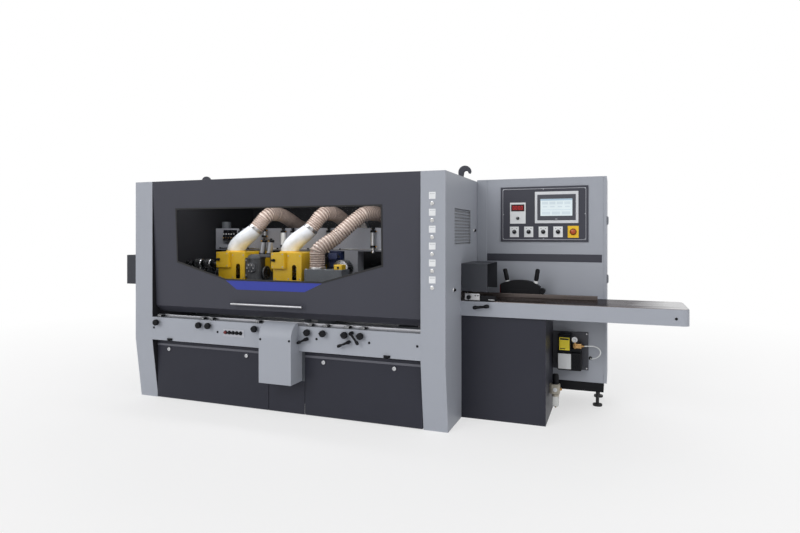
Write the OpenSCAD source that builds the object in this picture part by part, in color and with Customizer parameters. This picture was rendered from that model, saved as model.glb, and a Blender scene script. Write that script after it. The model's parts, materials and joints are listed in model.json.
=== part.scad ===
// Four sided moulder. Wood goes in over the long table at +X and leaves at -X.
// Millimetres, +Z up. The front is at -Y, and the fence is on the rear side of the wood.

/* [Enclosure] */
// Length between the outer faces of the two end pillars
enclosure_l = 2550; // [2500:10:3100]
// Depth from the front face to the rear cover
enclosure_d = 1350; // [1345:5:1650]
// Height of the enclosure above the floor
enclosure_h = 1700; // [1690:10:2050]
// Width of each end pillar
pillar_w = 168; // [150:2:202]
// Sheet thickness of the covers
sheet_t = 4; // [3:0.5:6]
// How far the foot of each pillar stands back
toe_d = 62; // [30:1:80]

/* [Front rail] */
// Underside of the front rail
rail_bottom = 466; // [430:2:470]
// Height of the rail's face
rail_h = 176; // [170:2:190]
// Depth of the rail, from its face to the bed
rail_d = 110; // [90:2:130]
// Wall thickness of the rail
rail_wall = 6; // [4:0.5:8]
// Diameter of an adjusting knob
knob_d = 47; // [36:1:50]
// Length of an adjusting knob
knob_l = 32; // [24:1:40]

/* [Hood] */
// How far the hood's face stands back at its lower fold
hood_setback = 40; // [20:1:60]
// Height of the hood's lower fold
hood_fold_z = 730; // [710:2:760]
// Height of the hood's hinge line below the roof
hinge_drop = 18; // [16:1:24]
// Distance of the hinge line behind the front face
hinge_y = 375; // [300:5:420]
// Thickness of the window pane
pane_t = 5; // [3:0.5:8]

/* [Work path] */
// Height of the table tops
table_h = 825; // [815:1:860]
// Widest wood that passes
path_w = 230; // [180:5:232]
// Front face of the fence
fence_y = 700; // [690:2:710]
// Diameter of the flat cutter heads
cutter_d = 125; // [110:1:130]
// Radius of a spindle arbor
arbor_r = 20; // [15:1:25]
// Diameter of a feed roller
roller_d = 140; // [110:2:150]
// Travel of the feed beam above the thinnest wood
beam_travel = 110; // [60:5:130]

/* [Infeed end] */
// Length of the infeed table past the enclosure
infeed_l = 1448; // [1000:4:1800]
// Front of the infeed table's apron
apron_y = 387; // [370:1:395]
// Depth of the infeed table over its apron
apron_d = 436; // [400:2:450]
// Length of the cover under the infeed table
base_l = 580; // [480:5:640]
// Height of the cover under the infeed table
base_h = 720; // [690:2:740]

/* [Electrical cabinet] */
// Width of the cabinet
cabinet_w = 935; // [920:5:1130]
// Front of the cabinet
cabinet_y = 900; // [885:5:920]
// Height of the cabinet's top
cabinet_h = 1713; // [1690:1:2050]
// Height of the cabinet's underside
cabinet_bottom = 137; // [100:1:160]

/* [Outfeed end] */
// Length of the outfeed guard past the enclosure
outfeed_l = 500; // [400:10:600]

/* [Hoses] */
// Outside radius of the extraction hoses over their ribs
hose_r = 60; // [50:1:62]
// Depth of a hose rib
rib_d = 4; // [2:0.5:6]
// Wall thickness of hoses and ducts
hose_wall = 3; // [2:0.5:4]

/* [Hidden] */
$fn = 48;
// Running clearance of shafts in their bores
run_gap = 0.05;
// Seam between sheets that are joined to each other
sheet_seam = 0.3;
// Gap between a moving cover and its neighbours
cover_gap = 4;
// Overrun of a cut past the surface that it opens
overrun = 10;

// Places along the bay between the pillars, as shares of its length from the infeed side
x_in = -pillar_w;
x_end = -enclosure_l;
x_out = x_end + pillar_w;
bay_l = x_in - x_out;
function bay(share) = x_in - share * bay_l;

bottom_x = bay(0.118);
right_x = bay(0.249);
left_x = bay(0.403);
top_shares = [0.5475, 0.782];
roller_shares = [0.042, 0.3826, 0.8955];
column_shares = [0.1906, 0.9585];
knob_shares = [0.974, 0.791, 0.753, 0.568, 0.373, 0.3175, 0.243, 0.19];
bolt_shares = [0.992, 0.72, 0.344, 0.164, 0.01];
catch_shares = [0.921, 0.106];
hinge_shares = [0.1, 0.5, 0.9];
function top_x(i) = bay(top_shares[i]);
function roller_x(i) = bay(roller_shares[i]);
function column_x(i) = bay(column_shares[i]);
function knob_x(i) = bay(knob_shares[i]);

// Levels of the work path
rail_top = rail_bottom + rail_h;
least_wood = 10;
path_h = beam_travel + least_wood;
path_z = table_h + path_h;
path_side = 10;
path_y = fence_y - path_w - path_side;
cutter_r = cutter_d / 2;
bottom_z = table_h - cutter_r;
top_z = path_z + cutter_r;
table_t = 30;
table_y = 400;
table_rear = 760;
tunnel_gap = 4;
tunnel_h = 175;

// Bed casting
bed_bottom = 80;
bed_top = 600;
bed_wall = 40;
bed_rear = 1240;
column_r = 40;
motor_hole_r = 45;
post_share = 0.467;
post_w = 296;
panel_y = 52;
panel_bottom = 6;
panel_top_gap = 16;
panel_top = rail_bottom - panel_top_gap;

// Vertical spindles
side_cutter_r = 60;
side_cutter_gap = 5;
left_y = path_y - side_cutter_r;
right_y = fence_y + side_cutter_r;
notch_l = 75;
quill_r = 70;
quill_gap = 35;
arbor_nose = 15;
motor_r = 90;
motor_l = 280;
seat_l = 60;

// Horizontal spindles
cutter_y = path_y;
head_l = path_w + path_side;
nose_l = 20;
unit_y = 870;
unit_d = 210;
unit_w = 160;
flat_motor_l = 210;
gullet_w = 16;
gullet_d = 14;
gullets = 4;

// Feed beam and rollers
beam_y = 740;
beam_d = 120;
beam_up = 325;
beam_bottom = table_h + beam_up;
beam_h = 190;
beam_wall = 12;
beam_end = 22;
column_over = 60;
column_top = beam_bottom + beam_h + column_over;
gearbox_w = 120;
gearbox_drop = 200;
roller_y = 540;
roller_w = 100;
roller_shaft_r = 15;
roller_teeth = 24;
tooth_d = 5;
roller_z = path_z + roller_d / 2;
feed_motor_share = 0.4503;
feed_motor_r = 75;
feed_motor_h = 140;
cylinder_shares = [0.668, 0.47, 0.213];
cylinder_r = 22;
cylinder_h = 140;
cylinder_drop = 20;
cylinder_set = 4;

// Chip hoods over the top spindles
chip_w = 254;
chip_y = 350;
chip_rear = 715;
chip_up = 93;
chip_h = 227;
chip_bottom = table_h + chip_up;
chip_top = chip_bottom + chip_h;
chip_wall = 6;
chip_step_w = 117;
chip_step_h = 125;
chip_step_d = 30;
chip_slot_w = 40;
chip_slot_h = 100;
chip_slot_x = 62;
chip_slot_up = 12;
chip_slot_z = chip_bottom + chip_slot_up;
chip_arm_w = 25;
chip_arm_x = 62;
chip_arm_up = 42;
chip_arm_z = chip_bottom + chip_arm_up;
chip_arm_h = 70;
chip_arbor_gap = 10;
chip_path_gap = 2;

// Cast box over the left spindle
left_box_l = 317;
left_box_share = 0.4;
left_box_y = 320;
left_box_d = 135;
left_box_up = 100;
left_box_h = 95;
left_box_bottom = table_h + left_box_up;
left_box_top = left_box_bottom + left_box_h;
left_box_wall = 6;
left_post = 40;

// Extraction ducts and hoses: offsets from the middle of the hood that each one serves
duct_foot_r = 74;
duct_start = [-65, 500, 0];
duct_end = [100, 540, 185];
duct_rise = [0, 0, 240];
duct_lean = [95, 66, 150];
duct_rings = 10;
duct_sides = 16;
spigot_fit = 2;
spigot_r = hose_r + spigot_fit;
spigot_wall = 4;
spigot_l = 60;
spigot_up = 200;
spigot_z = chip_top + spigot_up;
spigot_dx = 205;
third_spigot_up = 275;
third_spigot_z = chip_top + third_spigot_up;
third_spigot_share = 0.281;
hose_end_y = enclosure_d - spigot_l;
hose_sides = 8;

// Routes of the hoses, chosen by hand: places and slopes, and the ribs of each stretch
hose_rise = [120, 90, 130];
hose_crest = [195, 700, 317];
hose_crest_in = [40, 170, 0];
hose_crest_out = [30, 470, 0];
hose_fall = [0, 420, 0];
hose_ribs = [7, 9, 27, 7];
third_hose_in = 76;
third_hose_back = 70;
third_rise = [0, 0, 140];
third_bend = [106, 100, 242];
third_bend_in = [90, 70, 100];
third_bend_out = [160, 110, 170];
third_crest = [273, 250, 425];
third_crest_in = [120, 140, 110];
third_crest_out = [180, 330, 120];
third_ribs = [7, 9, 14, 26, 7];

// Roof, rear cover and hinges
roof_gap = 30;
rear_foot = 60;
pin_r = 6;
knuckle_r = 12;
knuckle_l = 40;
lug_l = 15;
lug_gap = 5;
lug_front = 12;
lug_h = 20;
lug_drop = 2;

// Hood
hood_side_gap = 2;
lip_l = 78;
lip_angle = 45;
cheek_d = 60;
cheek_top = 8;
face_lean = atan(hood_setback / (enclosure_h - hood_fold_z));
face_l = (enclosure_h - hood_fold_z) / cos(face_lean);
return_gap = 15;
leaf_l = 30;
window_top = 220;
window_side = 620;
window_bottom = 746;
window_left_share = 0.897;
window_right_share = 0.127;
window_low_left_share = 0.698;
window_low_right_share = 0.332;
pane_lap = 18;
handle_left_share = 0.6676;
handle_right_share = 0.3975;
handle_down = 925;
handle_r = 7.5;
handle_post_r = 6;
handle_off = 35;
handle_inset = 25;

// Lower panels
panel_edge = 4;
skirt_gap = 2;
lock_r = 13;
lock_l = 9;
lock_z = 390;
left_lock_shares = [0.883, 0.1825];
right_lock_shares = [0.8295, 0.224];

// Knobs, levers and buttons of the rail
knob_gap = 6;
knob_down = 38;
shaft_r = 7;
shaft_in = 40;
nub_l = 14;
nub_r = 6;
lever_shares = [0.2195, 0.2295];
box_lever_off = 74.295;
lever_down = [22, 84, 84];
lever_angles = [-52, 203, 205];
lever_boss_r = 13;
lever_boss_l = 42;
lever_lengths = [92, 84, 72];
lever_arm_r = 5.5;
lever_grip_r = 9;
lever_grip_l = 34;
keypad_share = 0.6955;
keypad_w = 181;
keypad_h = 55;
keypad_t = 3;
keypad_z = 560;
button_r = 11;
button_l = 10;
button_gap = 5;
button_stem_r = 6;
button_pitch = 33;
jogs = 4;
button_z = 563;
stop_share = 0.6864;
counter_w = 40;
counter_d = 35;
counter_h = 17;
counter_y = 14;

// Cover box in the middle of the rail
box_share = 0.4685;
box_w = 261;
box_y = -100;
box_bottom = 244;
box_top = 667;
box_bevel_y = 60;
box_bevel_z = 66;
box_wall = 3;

// Right side vent and small locks
vent_y = 227;
vent_w = 458;
vent_z = 1220;
vent_h = 247;
vent_blades = 11;
blade_w = 24;
blade_t = 2;
blade_tilt = 38;
blade_lap = 3;
side_lock_r = 14;
side_lock_y = 790;
side_lock_z = 1318;
front_lock_y = 195;
front_lock_z = 916;

// Lamps and label plates of the infeed pillar
lamp_x = 88;
lamp_z = 1488;
lamp_pitch = 109;
lamp_r = 15;
lamp_l = 10;
label_w = 45;
label_up = 52;
label_t = 2;
lamps = 6;

// Lifting hooks
hook_y = 700;
hook_r = 14;
hook_bend = 36;
hook_post = 48;
hook_t = 16;
hook_foot_r = 22;
hook_foot_h = 10;

// Infeed table, apron and its cover
infeed_t = 25;
apron_t = 4;
apron_drop = 3;
apron_corner = 40;
table_gap = 2;
infeed_rib_t = 20;
infeed_rib_shares = [0.3, 0.7];
infeed_rib_end = 120;
base_y = 407;
base_d = 473;
base_wall = 3;
guard_l = 185;
guard_y = 400;
guard_d = 364;
guard_up = 65;
guard_z = table_h + guard_up;
guard_h = 194;
outguard_up = 25;
outguard_z = table_h + outguard_up;
outguard_h = 255;
outfeed_table_l = 350;
fence_t = 30;
fence_h = 30;
infeed_fence_l = 900;
guide_x = 218;
guide_l = 292;
guide_t = 46;
guide_set = 2;
guide_h = 68;
guide_crown = 32;
guide_end_r = 22;
guide_grip_r = 13;
guide_grip_l = 90;
guide_grip_shares = [0.2, 0.86];
guide_grip_tilts = [-12, 9];
guide_grip_sink = 16;
infeed_clamp_x = 105;
infeed_clamp_down = 43;
infeed_clamp_z = table_h - infeed_clamp_down;
infeed_clamp_angle = 8;
infeed_clamp_l = 104;
block_x = 28;
block_w = 106;
block_h = 50;
block_t = 16;
stop_w = 110;
stop_h = 36;
stop_d = 32;

// Cabinet, its door, panel and instruments
cabinet_wall = 3;
plinth_h = 66;
plate_t = 3;
relay_w = 52;
relay_h = 78;
relay_d = 70;
relay_rows = 4;
relay_pitch = 62;
relay_row_pitch = 300;
relay_z = 420;
relay_x = 80;
relays = 12;
door_t = 22;
door_gap = 1;
door_edge = 20;
door_pin_r = 5;
door_knuckle_r = 9;
door_knuckle_l = 60;
door_knuckle_share = 0.18;
door_lock_zs = [1389, 963];
door_lock_w = 16;
door_lock_h = 60;
door_lock_t = 12;
panel_x = 187;
panel_w = 644;
panel_z = 1232;
panel_h = 417;
panel_t = 8;
panel_line = 6;
panel_inset = 14;
panel_line_t = 1.5;
band_x = 80;
band_end = 10;
band_w = cabinet_w - band_x - band_end;
band_z = 1083;
band_h = 57;
band_t = 2;
screen_x = 446;
screen_w = 316;
screen_z = 1371;
screen_h = 238;
screen_t = 8;
bezel_w = 278;
bezel_h = 193;
bezel_t = 4;
glass_w = 230;
glass_h = 127;
glass_t = 1;
meter_x = 259;
meter_w = 118;
meter_z = 1370;
meter_h = 160;
meter_t = 2;
display_w = 96;
display_h = 48;
display_t = 6;
display_up = 96;
meter_knob_r = 9;
meter_knob_l = 14;
meter_knob_up = 40;
selector_x = 292;
selector_pitch = 108;
selector_z = 1307;
selector_w = 68;
selector_h = 80;
selector_r = 14;
selector_l = 20;
selector_grip = 9;
selector_shaft_r = 8;
selector_in = 25;
selectors = 4;
estop_w = 78;
estop_h = 88;
estop_r = 20;
estop_l = 16;
estop_gap = 6;

// Oil pump on the cabinet and air unit on the cover
oil_x = 558;
oil_w = 273;
oil_z = 291;
oil_h = 277;
oil_plate_t = 10;
pump_x = 620;
pump_w = 168;
pump_z = 302;
pump_h = 256;
pump_d = 110;
gauge_r = 20;
gauge_l = 24;
gauge_x = 742;
gauge_z = 533;
fitting_r = 8;
fitting_l = 18;
fitting_z = 476;
tube_r = 4;
tube_sides = 8;
tube_y = cabinet_y - oil_plate_t - pump_d / 2;
air_x = 40;
air_y = 660;
air_body_w = 60;
air_body_z = 160;
air_body_h = 70;
air_bowl_r = 24;
air_bowl_h = 97;
air_knob_r = 22;
air_knob_h = 70;

// Feet and fasteners
foot_r = 45;
foot_h = 14;
foot_stem_r = 12;
foot_shares = [0.06, 0.5, 0.94];
foot_inset = 90;
cabinet_foot_r = 34;
cabinet_foot_x = 45;
cabinet_foot_front = 135;
cabinet_foot_rear = 60;
bolt_r = 8;
bolt_l = 5;
bolt_z = 560;
box_bolt_inset = 14;
box_bolt_z = 552;
catch_w = 38;
catch_h = 16;
catch_t = 12;
catch_z = 479;
apron_bolt_in = 77;
apron_bolt_down = 60;

// Middle of the machine's box, which is set over the origin
mid_x = (infeed_l + x_end - outfeed_l) / 2;
mid_y = (box_y - bolt_l + enclosure_d + spigot_l) / 2;

knob_nodes = [for (i = [1 : len(knob_shares)]) str("adjusting_knob_", i)];
lever_nodes = [for (i = [1 : len(lever_down) + 1]) str("clamp_lever_", i)];
selector_nodes = [for (i = [1 : selectors]) str("selector_switch_", i)];
roller_nodes = [for (i = [1 : len(roller_shares)]) str("feed_roller_", i)];
top_nodes = [for (i = [1 : len(top_shares)]) str("top_spindle_", i)];

// Shared shapes

module place() {
    translate([-mid_x, -mid_y, 0]) children();
}

module box(low, high) {
    translate(low) cube(high - low);
}

module rod_x(x0, x1, y, z, r) {
    translate([x0, y, z]) rotate([0, 90, 0]) cylinder(r = r, h = x1 - x0);
}

module rod_y(x, y0, y1, z, r) {
    translate([x, y0, z]) rotate([-90, 0, 0]) cylinder(r = r, h = y1 - y0);
}

module rod_z(x, y, z0, z1, r) {
    translate([x, y, z0]) cylinder(r = r, h = z1 - z0);
}

// A prism along X whose outline is given in Y and Z
module prism_x(x0, x1, outline) {
    translate([x0, 0, 0]) rotate([90, 0, 90]) linear_extrude(x1 - x0) polygon(outline);
}

// A cubic stretch from p with slope m to q with slope n
function blend(p, m, q, n, s) =
    (2 * s ^ 3 - 3 * s ^ 2 + 1) * p + (s ^ 3 - 2 * s ^ 2 + s) * m
    + (3 * s ^ 2 - 2 * s ^ 3) * q + (s ^ 3 - s ^ 2) * n;
function slope(p, m, q, n, s) =
    (6 * s ^ 2 - 6 * s) * (p - q) + (3 * s ^ 2 - 4 * s + 1) * m + (3 * s ^ 2 - 2 * s) * n;
function unit(v) = v / norm(v);

// A ring of points around p, square to t, that starts on the side that faces +X
function ring(p, t, r, sides) =
    let (axis = unit(t), side = unit([1, 0, 0] - axis[0] * axis), up = cross(axis, side))
    [for (k = [0 : sides - 1]) p + r * (cos(360 * k / sides) * side + sin(360 * k / sides) * up)];

// Two triangles for each side between ring a and ring b
function band(a, b, sides) = [
    for (k = [0 : sides - 1]) let (n = (k + 1) % sides)
        each [[a + k, b + k, b + n], [a + k, b + n, a + n]]];

// A tube with a bore, through outer rings and bore rings of the same number of sides
module bored_tube(outer, bore, sides) {
    first = len(outer) * sides;
    last = first + (len(bore) - 1) * sides;
    polyhedron(
        points = concat([for (loop = outer) each loop], [for (loop = bore) each loop]),
        faces = concat(
            [for (i = [0 : len(outer) - 2]) each band(i * sides, (i + 1) * sides, sides)],
            [for (i = [0 : len(bore) - 2]) each band(first + (i + 1) * sides, first + i * sides, sides)],
            band(first, 0, sides),
            band((len(outer) - 1) * sides, last, sides)),
        convexity = 10);
}

// A ribbed hose through knots of place, slope before, slope after and ribs to the next knot
module ribbed_hose(knots) {
    steps = [for (i = [0 : len(knots) - 2]) for (k = [0 : 2 * knots[i][3] - 1])
        [i, k / (2 * knots[i][3])]];
    stops = concat(steps, [[len(knots) - 2, 1]]);
    function at(s) = blend(knots[s[0]][0], knots[s[0]][2], knots[s[0] + 1][0], knots[s[0] + 1][1], s[1]);
    function way(s) = slope(knots[s[0]][0], knots[s[0]][2], knots[s[0] + 1][0], knots[s[0] + 1][1], s[1]);
    bore_r = hose_r - rib_d - hose_wall;
    outer = [for (j = [0 : len(stops) - 1])
        ring(at(stops[j]), way(stops[j]), hose_r - (j % 2) * rib_d, hose_sides)];
    bore = [for (j = [0 : 2 : len(stops) - 1]) ring(at(stops[j]), way(stops[j]), bore_r, hose_sides)];
    bored_tube(outer, bore, hose_sides);
}

// Frame and enclosure

module bed_frame() {
    color("dimgray") union() {
        difference() {
            box([x_out, rail_d, bed_bottom], [x_in, bed_rear, bed_top]);
            box([x_out + bed_wall, rail_d - overrun, bed_bottom + bed_wall],
                [x_in - bed_wall, bed_rear - bed_wall, bed_top - bed_wall]);
            for (p = [[left_x, left_y], [right_x, right_y]])
                rod_z(p[0], p[1], bed_top - bed_wall - overrun, bed_top + overrun, motor_hole_r);
        }
        box([bay(post_share) - post_w / 2, panel_y + sheet_t, bed_bottom],
            [bay(post_share) + post_w / 2, rail_d + bed_wall, rail_bottom]);
        for (i = [0 : len(column_shares) - 1])
            rod_z(column_x(i), beam_y + beam_d / 2, bed_top - bed_wall, column_top, column_r);
    }
}

function pillar_outline(m) = [
    [toe_d + m, m > 0 ? -overrun : 0], [toe_d + m, 0], [m, rail_bottom], [m, enclosure_h - m],
    [enclosure_d - m, enclosure_h - m], [enclosure_d - m, m > 0 ? -overrun : 0]];

// A folded pillar with the tunnel that the wood passes through
module pillar(x0) {
    difference() {
        prism_x(x0, x0 + pillar_w, pillar_outline(0));
        prism_x(x0 + sheet_t, x0 + pillar_w - sheet_t, pillar_outline(sheet_t));
        box([x0 - overrun, table_y - tunnel_gap, table_h - table_t - tunnel_gap],
            [x0 + pillar_w + overrun, table_rear + tunnel_gap, table_h + tunnel_h]);
    }
}

module outfeed_pillar() {
    color("darkgray") pillar(x_end);
    color("dimgray") lifting_hook(x_end + pillar_w / 2);
}

module infeed_pillar() {
    color("darkgray") union() {
        difference() {
            pillar(x_in);
            box([-sheet_t - overrun, vent_y, vent_z], [overrun, vent_y + vent_w, vent_z + vent_h]);
        }
        for (i = [0 : vent_blades - 1])
            translate([-sheet_t / 2, vent_y - blade_lap, vent_z + (i + 0.5) * vent_h / vent_blades])
                rotate([0, 180 + blade_tilt, 0])
                    cube([blade_w, vent_w + 2 * blade_lap, blade_t]);
    }
    color("dimgray") lifting_hook(-pillar_w / 2);
}

hinge_z = enclosure_h - hinge_drop;
roof_y = hinge_y + roof_gap;

// Where the three hoses leave through the rear cover
spigots = concat(
    [for (i = [0 : len(top_shares) - 1]) [top_x(i) + spigot_dx, spigot_z]],
    [[bay(third_spigot_share), third_spigot_z]]);

module rear_cover() {
    color("slategray") difference() {
        union() {
            box([x_out, roof_y, enclosure_h - sheet_t], [x_in, enclosure_d, enclosure_h]);
            box([x_out, enclosure_d - sheet_t, rear_foot], [x_in, enclosure_d, enclosure_h]);
            for (s = spigots) rod_y(s[0], enclosure_d - spigot_l, enclosure_d + spigot_l, s[1], spigot_r);
            for (share = hinge_shares) hinge_lugs(bay(share));
        }
        for (s = spigots)
            rod_y(s[0], enclosure_d - spigot_l - overrun, enclosure_d + spigot_l + overrun, s[1],
                spigot_r - spigot_wall);
    }
}

// Two lugs under the front of the roof with the hinge pin between them
module hinge_lugs(x) {
    for (side = [-1, 1]) {
        low = x + side * (knuckle_l / 2 + lug_gap + lug_l / 2) - lug_l / 2;
        box([low, hinge_y - lug_front, hinge_z - lug_h / 2],
            [low + lug_l, roof_y + lug_h, enclosure_h - sheet_t - lug_drop]);
        box([low, roof_y, enclosure_h - sheet_t - lug_h],
            [low + lug_l, roof_y + lug_h, enclosure_h - sheet_t]);
    }
    rod_x(x - knuckle_l / 2 - lug_gap - lug_l, x + knuckle_l / 2 + lug_gap + lug_l, hinge_y, hinge_z, pin_r);
}

module front_rail() {
    color("darkgray") difference() {
        box([x_out, 0, rail_bottom], [x_in, rail_d, rail_top]);
        box([x_out + rail_wall, rail_wall, rail_bottom + rail_wall],
            [x_in - rail_wall, rail_d + overrun, rail_top - rail_wall]);
        for (i = [0 : len(knob_shares) - 1])
            rod_y(knob_x(i), -overrun, rail_wall + overrun, rail_top - knob_down, shaft_r + run_gap);
        for (i = [0 : len(lever_down) - 1])
            rod_y(lever_x(i), -overrun, rail_wall + overrun, lever_z(i), shaft_r + run_gap);
        for (i = [0 : jogs])
            rod_y(button_x(i), -overrun, rail_wall + overrun, button_z, button_stem_r + run_gap);
    }
}

// Tables, fence and spindle units

module work_tables() {
    stretches = [
        [[bottom_x + notch_l, 0], [bottom_x + notch_l, x_in]],
        [[x_end - outfeed_table_l, bottom_x - notch_l], [x_out, bottom_x - notch_l]]];
    color("lightsteelblue") difference() {
        union() for (s = stretches) {
            box([s[0][0], table_y, table_h - table_t], [s[0][1], table_rear, table_h]);
            for (share = infeed_rib_shares) {
                y = table_y + share * (table_rear - table_y);
                box([s[1][0], y - infeed_rib_t / 2, bed_top],
                    [s[1][1], y + infeed_rib_t / 2, table_h - table_t]);
            }
        }
        box([left_x - notch_l, table_y - overrun, table_h - table_t - overrun],
            [left_x + notch_l, left_y + notch_l, table_h + overrun]);
        box([right_x - notch_l, right_y - notch_l, table_h - table_t - overrun],
            [right_x + notch_l, table_rear + overrun, table_h + overrun]);
    }
}

module guide_fence() {
    stretches = [[right_x + notch_l, infeed_fence_l], [x_end - outfeed_table_l, right_x - notch_l]];
    color("silver") for (s = stretches)
        box([s[0], fence_y, table_h], [s[1], fence_y + fence_t, table_h + fence_h]);
}

// Middle and height of each spindle that lies along Y
flat_spindles = concat([[bottom_x, bottom_z]], [for (i = [0 : len(top_shares) - 1]) [top_x(i), top_z]]);
upright_spindles = [[left_x, left_y], [right_x, right_y]];
left_box_x = bay(left_box_share);

module spindle_units() {
    color("gray") {
        for (s = flat_spindles) difference() {
            box([s[0] - unit_w / 2, unit_y, bed_top],
                [s[0] + unit_w / 2, unit_y + unit_d, s[1] + unit_w / 2]);
            rod_y(s[0], unit_y - overrun, unit_y + unit_d + overrun, s[1], arbor_r + run_gap);
        }
        for (p = upright_spindles) difference() {
            rod_z(p[0], p[1], bed_top, table_h - quill_gap, quill_r);
            rod_z(p[0], p[1], bed_top - overrun, table_h, arbor_r + run_gap);
        }
        left_spindle_box();
    }
}

// Chip box over the left spindle, of a lid and three walls on a post, open below and behind
module left_spindle_box() {
    t = left_box_wall;
    x0 = left_box_x - left_box_l / 2;
    x1 = x0 + left_box_l;
    rear = left_box_y + left_box_d;
    bore_r = hose_r - rib_d - hose_wall;
    wall_top = left_box_top - t - sheet_seam;
    difference() {
        box([x0, left_box_y, left_box_top - t], [x1, rear, left_box_top]);
        rod_z(third_hose_x, third_hose_y, left_box_bottom, left_box_top + overrun, bore_r);
    }
    box([x0, left_box_y, left_box_bottom], [x1, left_box_y + t, wall_top]);
    for (x = [x0, x1 - t])
        box([x, left_box_y + t + sheet_seam, left_box_bottom], [x + t, rear, wall_top]);
    box([x0, left_box_y, bed_top], [x0 + left_post, left_box_y + left_post, left_box_bottom - sheet_seam]);
}

module spindle_motors() {
    color("navy") {
        for (s = flat_spindles) difference() {
            rod_y(s[0], unit_y + unit_d, unit_y + unit_d + flat_motor_l, s[1], motor_r);
            rod_y(s[0], unit_y + unit_d - overrun, unit_y + unit_d + seat_l, s[1], arbor_r + run_gap);
        }
        for (p = upright_spindles) difference() {
            rod_z(p[0], p[1], bed_top - bed_wall - motor_l, bed_top - bed_wall, motor_r);
            rod_z(p[0], p[1], bed_top - bed_wall - seat_l, bed_top - bed_wall + overrun, arbor_r + run_gap);
        }
    }
}

// A cutter head along Z with its chip gullets
module cutter_head(r, l) {
    difference() {
        cylinder(r = r, h = l);
        for (i = [0 : gullets - 1])
            rotate([0, 0, i * 360 / gullets])
                translate([r - gullet_d, 0, -overrun]) cube([gullet_d + overrun, gullet_w, l + 2 * overrun]);
    }
}

module flat_spindle(x, z) {
    color("silver") union() {
        rod_y(x, cutter_y - nose_l, unit_y + unit_d + seat_l - side_cutter_gap, z, arbor_r);
        translate([x, cutter_y, z]) rotate([-90, 0, 0]) cutter_head(cutter_r, head_l);
    }
}

module upright_spindle(x, y) {
    color("silver") union() {
        rod_z(x, y, bed_top - bed_wall - seat_l + side_cutter_gap,
            path_z - side_cutter_gap + arbor_nose, arbor_r);
        translate([x, y, table_h + side_cutter_gap]) cutter_head(side_cutter_r, path_h - 2 * side_cutter_gap);
    }
}

module bottom_spindle() {
    flat_spindle(bottom_x, bottom_z);
}

module left_spindle() {
    upright_spindle(left_x, left_y);
}

module right_spindle() {
    upright_spindle(right_x, right_y);
}

// Feed beam, its gearboxes, cylinders and rollers

module feed_beam() {
    low = beam_bottom - gearbox_drop;
    top = beam_bottom + beam_h;
    rear = beam_y + beam_d;
    middle = beam_y + beam_d / 2;
    cylinder_y = beam_y - cylinder_r + cylinder_set;
    color("lightgray") difference() {
        union() {
            difference() {
                box([x_out + beam_end, beam_y, beam_bottom], [x_in - beam_end, rear, top]);
                box([x_out, beam_y + beam_wall, beam_bottom + beam_wall],
                    [x_in, rear - beam_wall, top - beam_wall]);
            }
            for (i = [0 : len(roller_shares) - 1])
                box([roller_x(i) - gearbox_w / 2, beam_y, low],
                    [roller_x(i) + gearbox_w / 2, rear, beam_bottom]);
            rod_z(bay(feed_motor_share), middle, beam_bottom - feed_motor_h, beam_bottom, feed_motor_r);
            for (share = cylinder_shares)
                rod_z(bay(share), cylinder_y, top - cylinder_drop - cylinder_h, top - cylinder_drop,
                    cylinder_r);
        }
        for (i = [0 : len(column_shares) - 1])
            rod_z(column_x(i), middle, low, top + overrun, column_r + run_gap);
        for (i = [0 : len(roller_shares) - 1])
            rod_y(roller_x(i), beam_y - overrun, rear + overrun, roller_z, roller_shaft_r + run_gap);
    }
}

module feed_roller(i) {
    r = roller_d / 2;
    color("gainsboro") union() {
        rod_y(roller_x(i), roller_y, beam_y + beam_d, roller_z, roller_shaft_r);
        translate([roller_x(i), roller_y, roller_z]) rotate([-90, 0, 0]) linear_extrude(roller_w)
            polygon([for (k = [0 : 2 * roller_teeth - 1]) let (a = 180 * (k + 0.5) / roller_teeth)
                (r - (k % 2) * tooth_d) * [cos(a), sin(a)]]);
    }
}

// Chip extraction

module chip_hoods() {
    color("gold") for (i = [0 : len(top_shares) - 1]) chip_hood(top_x(i));
}

module chip_hood(x) {
    x0 = x - chip_w / 2;
    x1 = x + chip_w / 2;
    difference() {
        union() {
            box([x0, chip_y, chip_bottom], [x1, chip_rear, chip_top]);
            box([x0, chip_y - chip_step_d, chip_top - chip_step_h], [x0 + chip_step_w, chip_y, chip_top]);
            for (side = [-1, 1])
                box([x + side * chip_arm_x - chip_arm_w / 2, chip_rear - chip_wall, chip_arm_z],
                    [x + side * chip_arm_x + chip_arm_w / 2, unit_y, chip_arm_z + chip_arm_h]);
        }
        box([x0 + chip_wall, chip_y + chip_wall, chip_bottom - overrun],
            [x1 - chip_wall, chip_rear - chip_wall, chip_top - chip_wall]);
        box([x0 - overrun, path_y, chip_bottom - overrun],
            [x1 + overrun, unit_y + overrun, path_z + chip_path_gap]);
        rod_y(x, chip_rear - chip_wall - overrun, chip_rear + overrun, top_z, arbor_r + chip_arbor_gap);
        rod_z(x + duct_start[0], duct_start[1], chip_top - chip_wall - overrun, chip_top + overrun, hose_r);
        box([x + chip_slot_x - chip_slot_w / 2, chip_y - overrun, chip_slot_z],
            [x + chip_slot_x + chip_slot_w / 2, chip_y + chip_wall + overrun, chip_slot_z + chip_slot_h]);
        rod_y(x + chip_slot_x, chip_y - overrun, chip_y + chip_wall + overrun, chip_slot_z + chip_slot_h,
            chip_slot_w / 2);
    }
}

module chip_ducts() {
    color("whitesmoke") for (i = [0 : len(top_shares) - 1]) chip_duct([top_x(i), 0, chip_top]);
}

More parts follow.
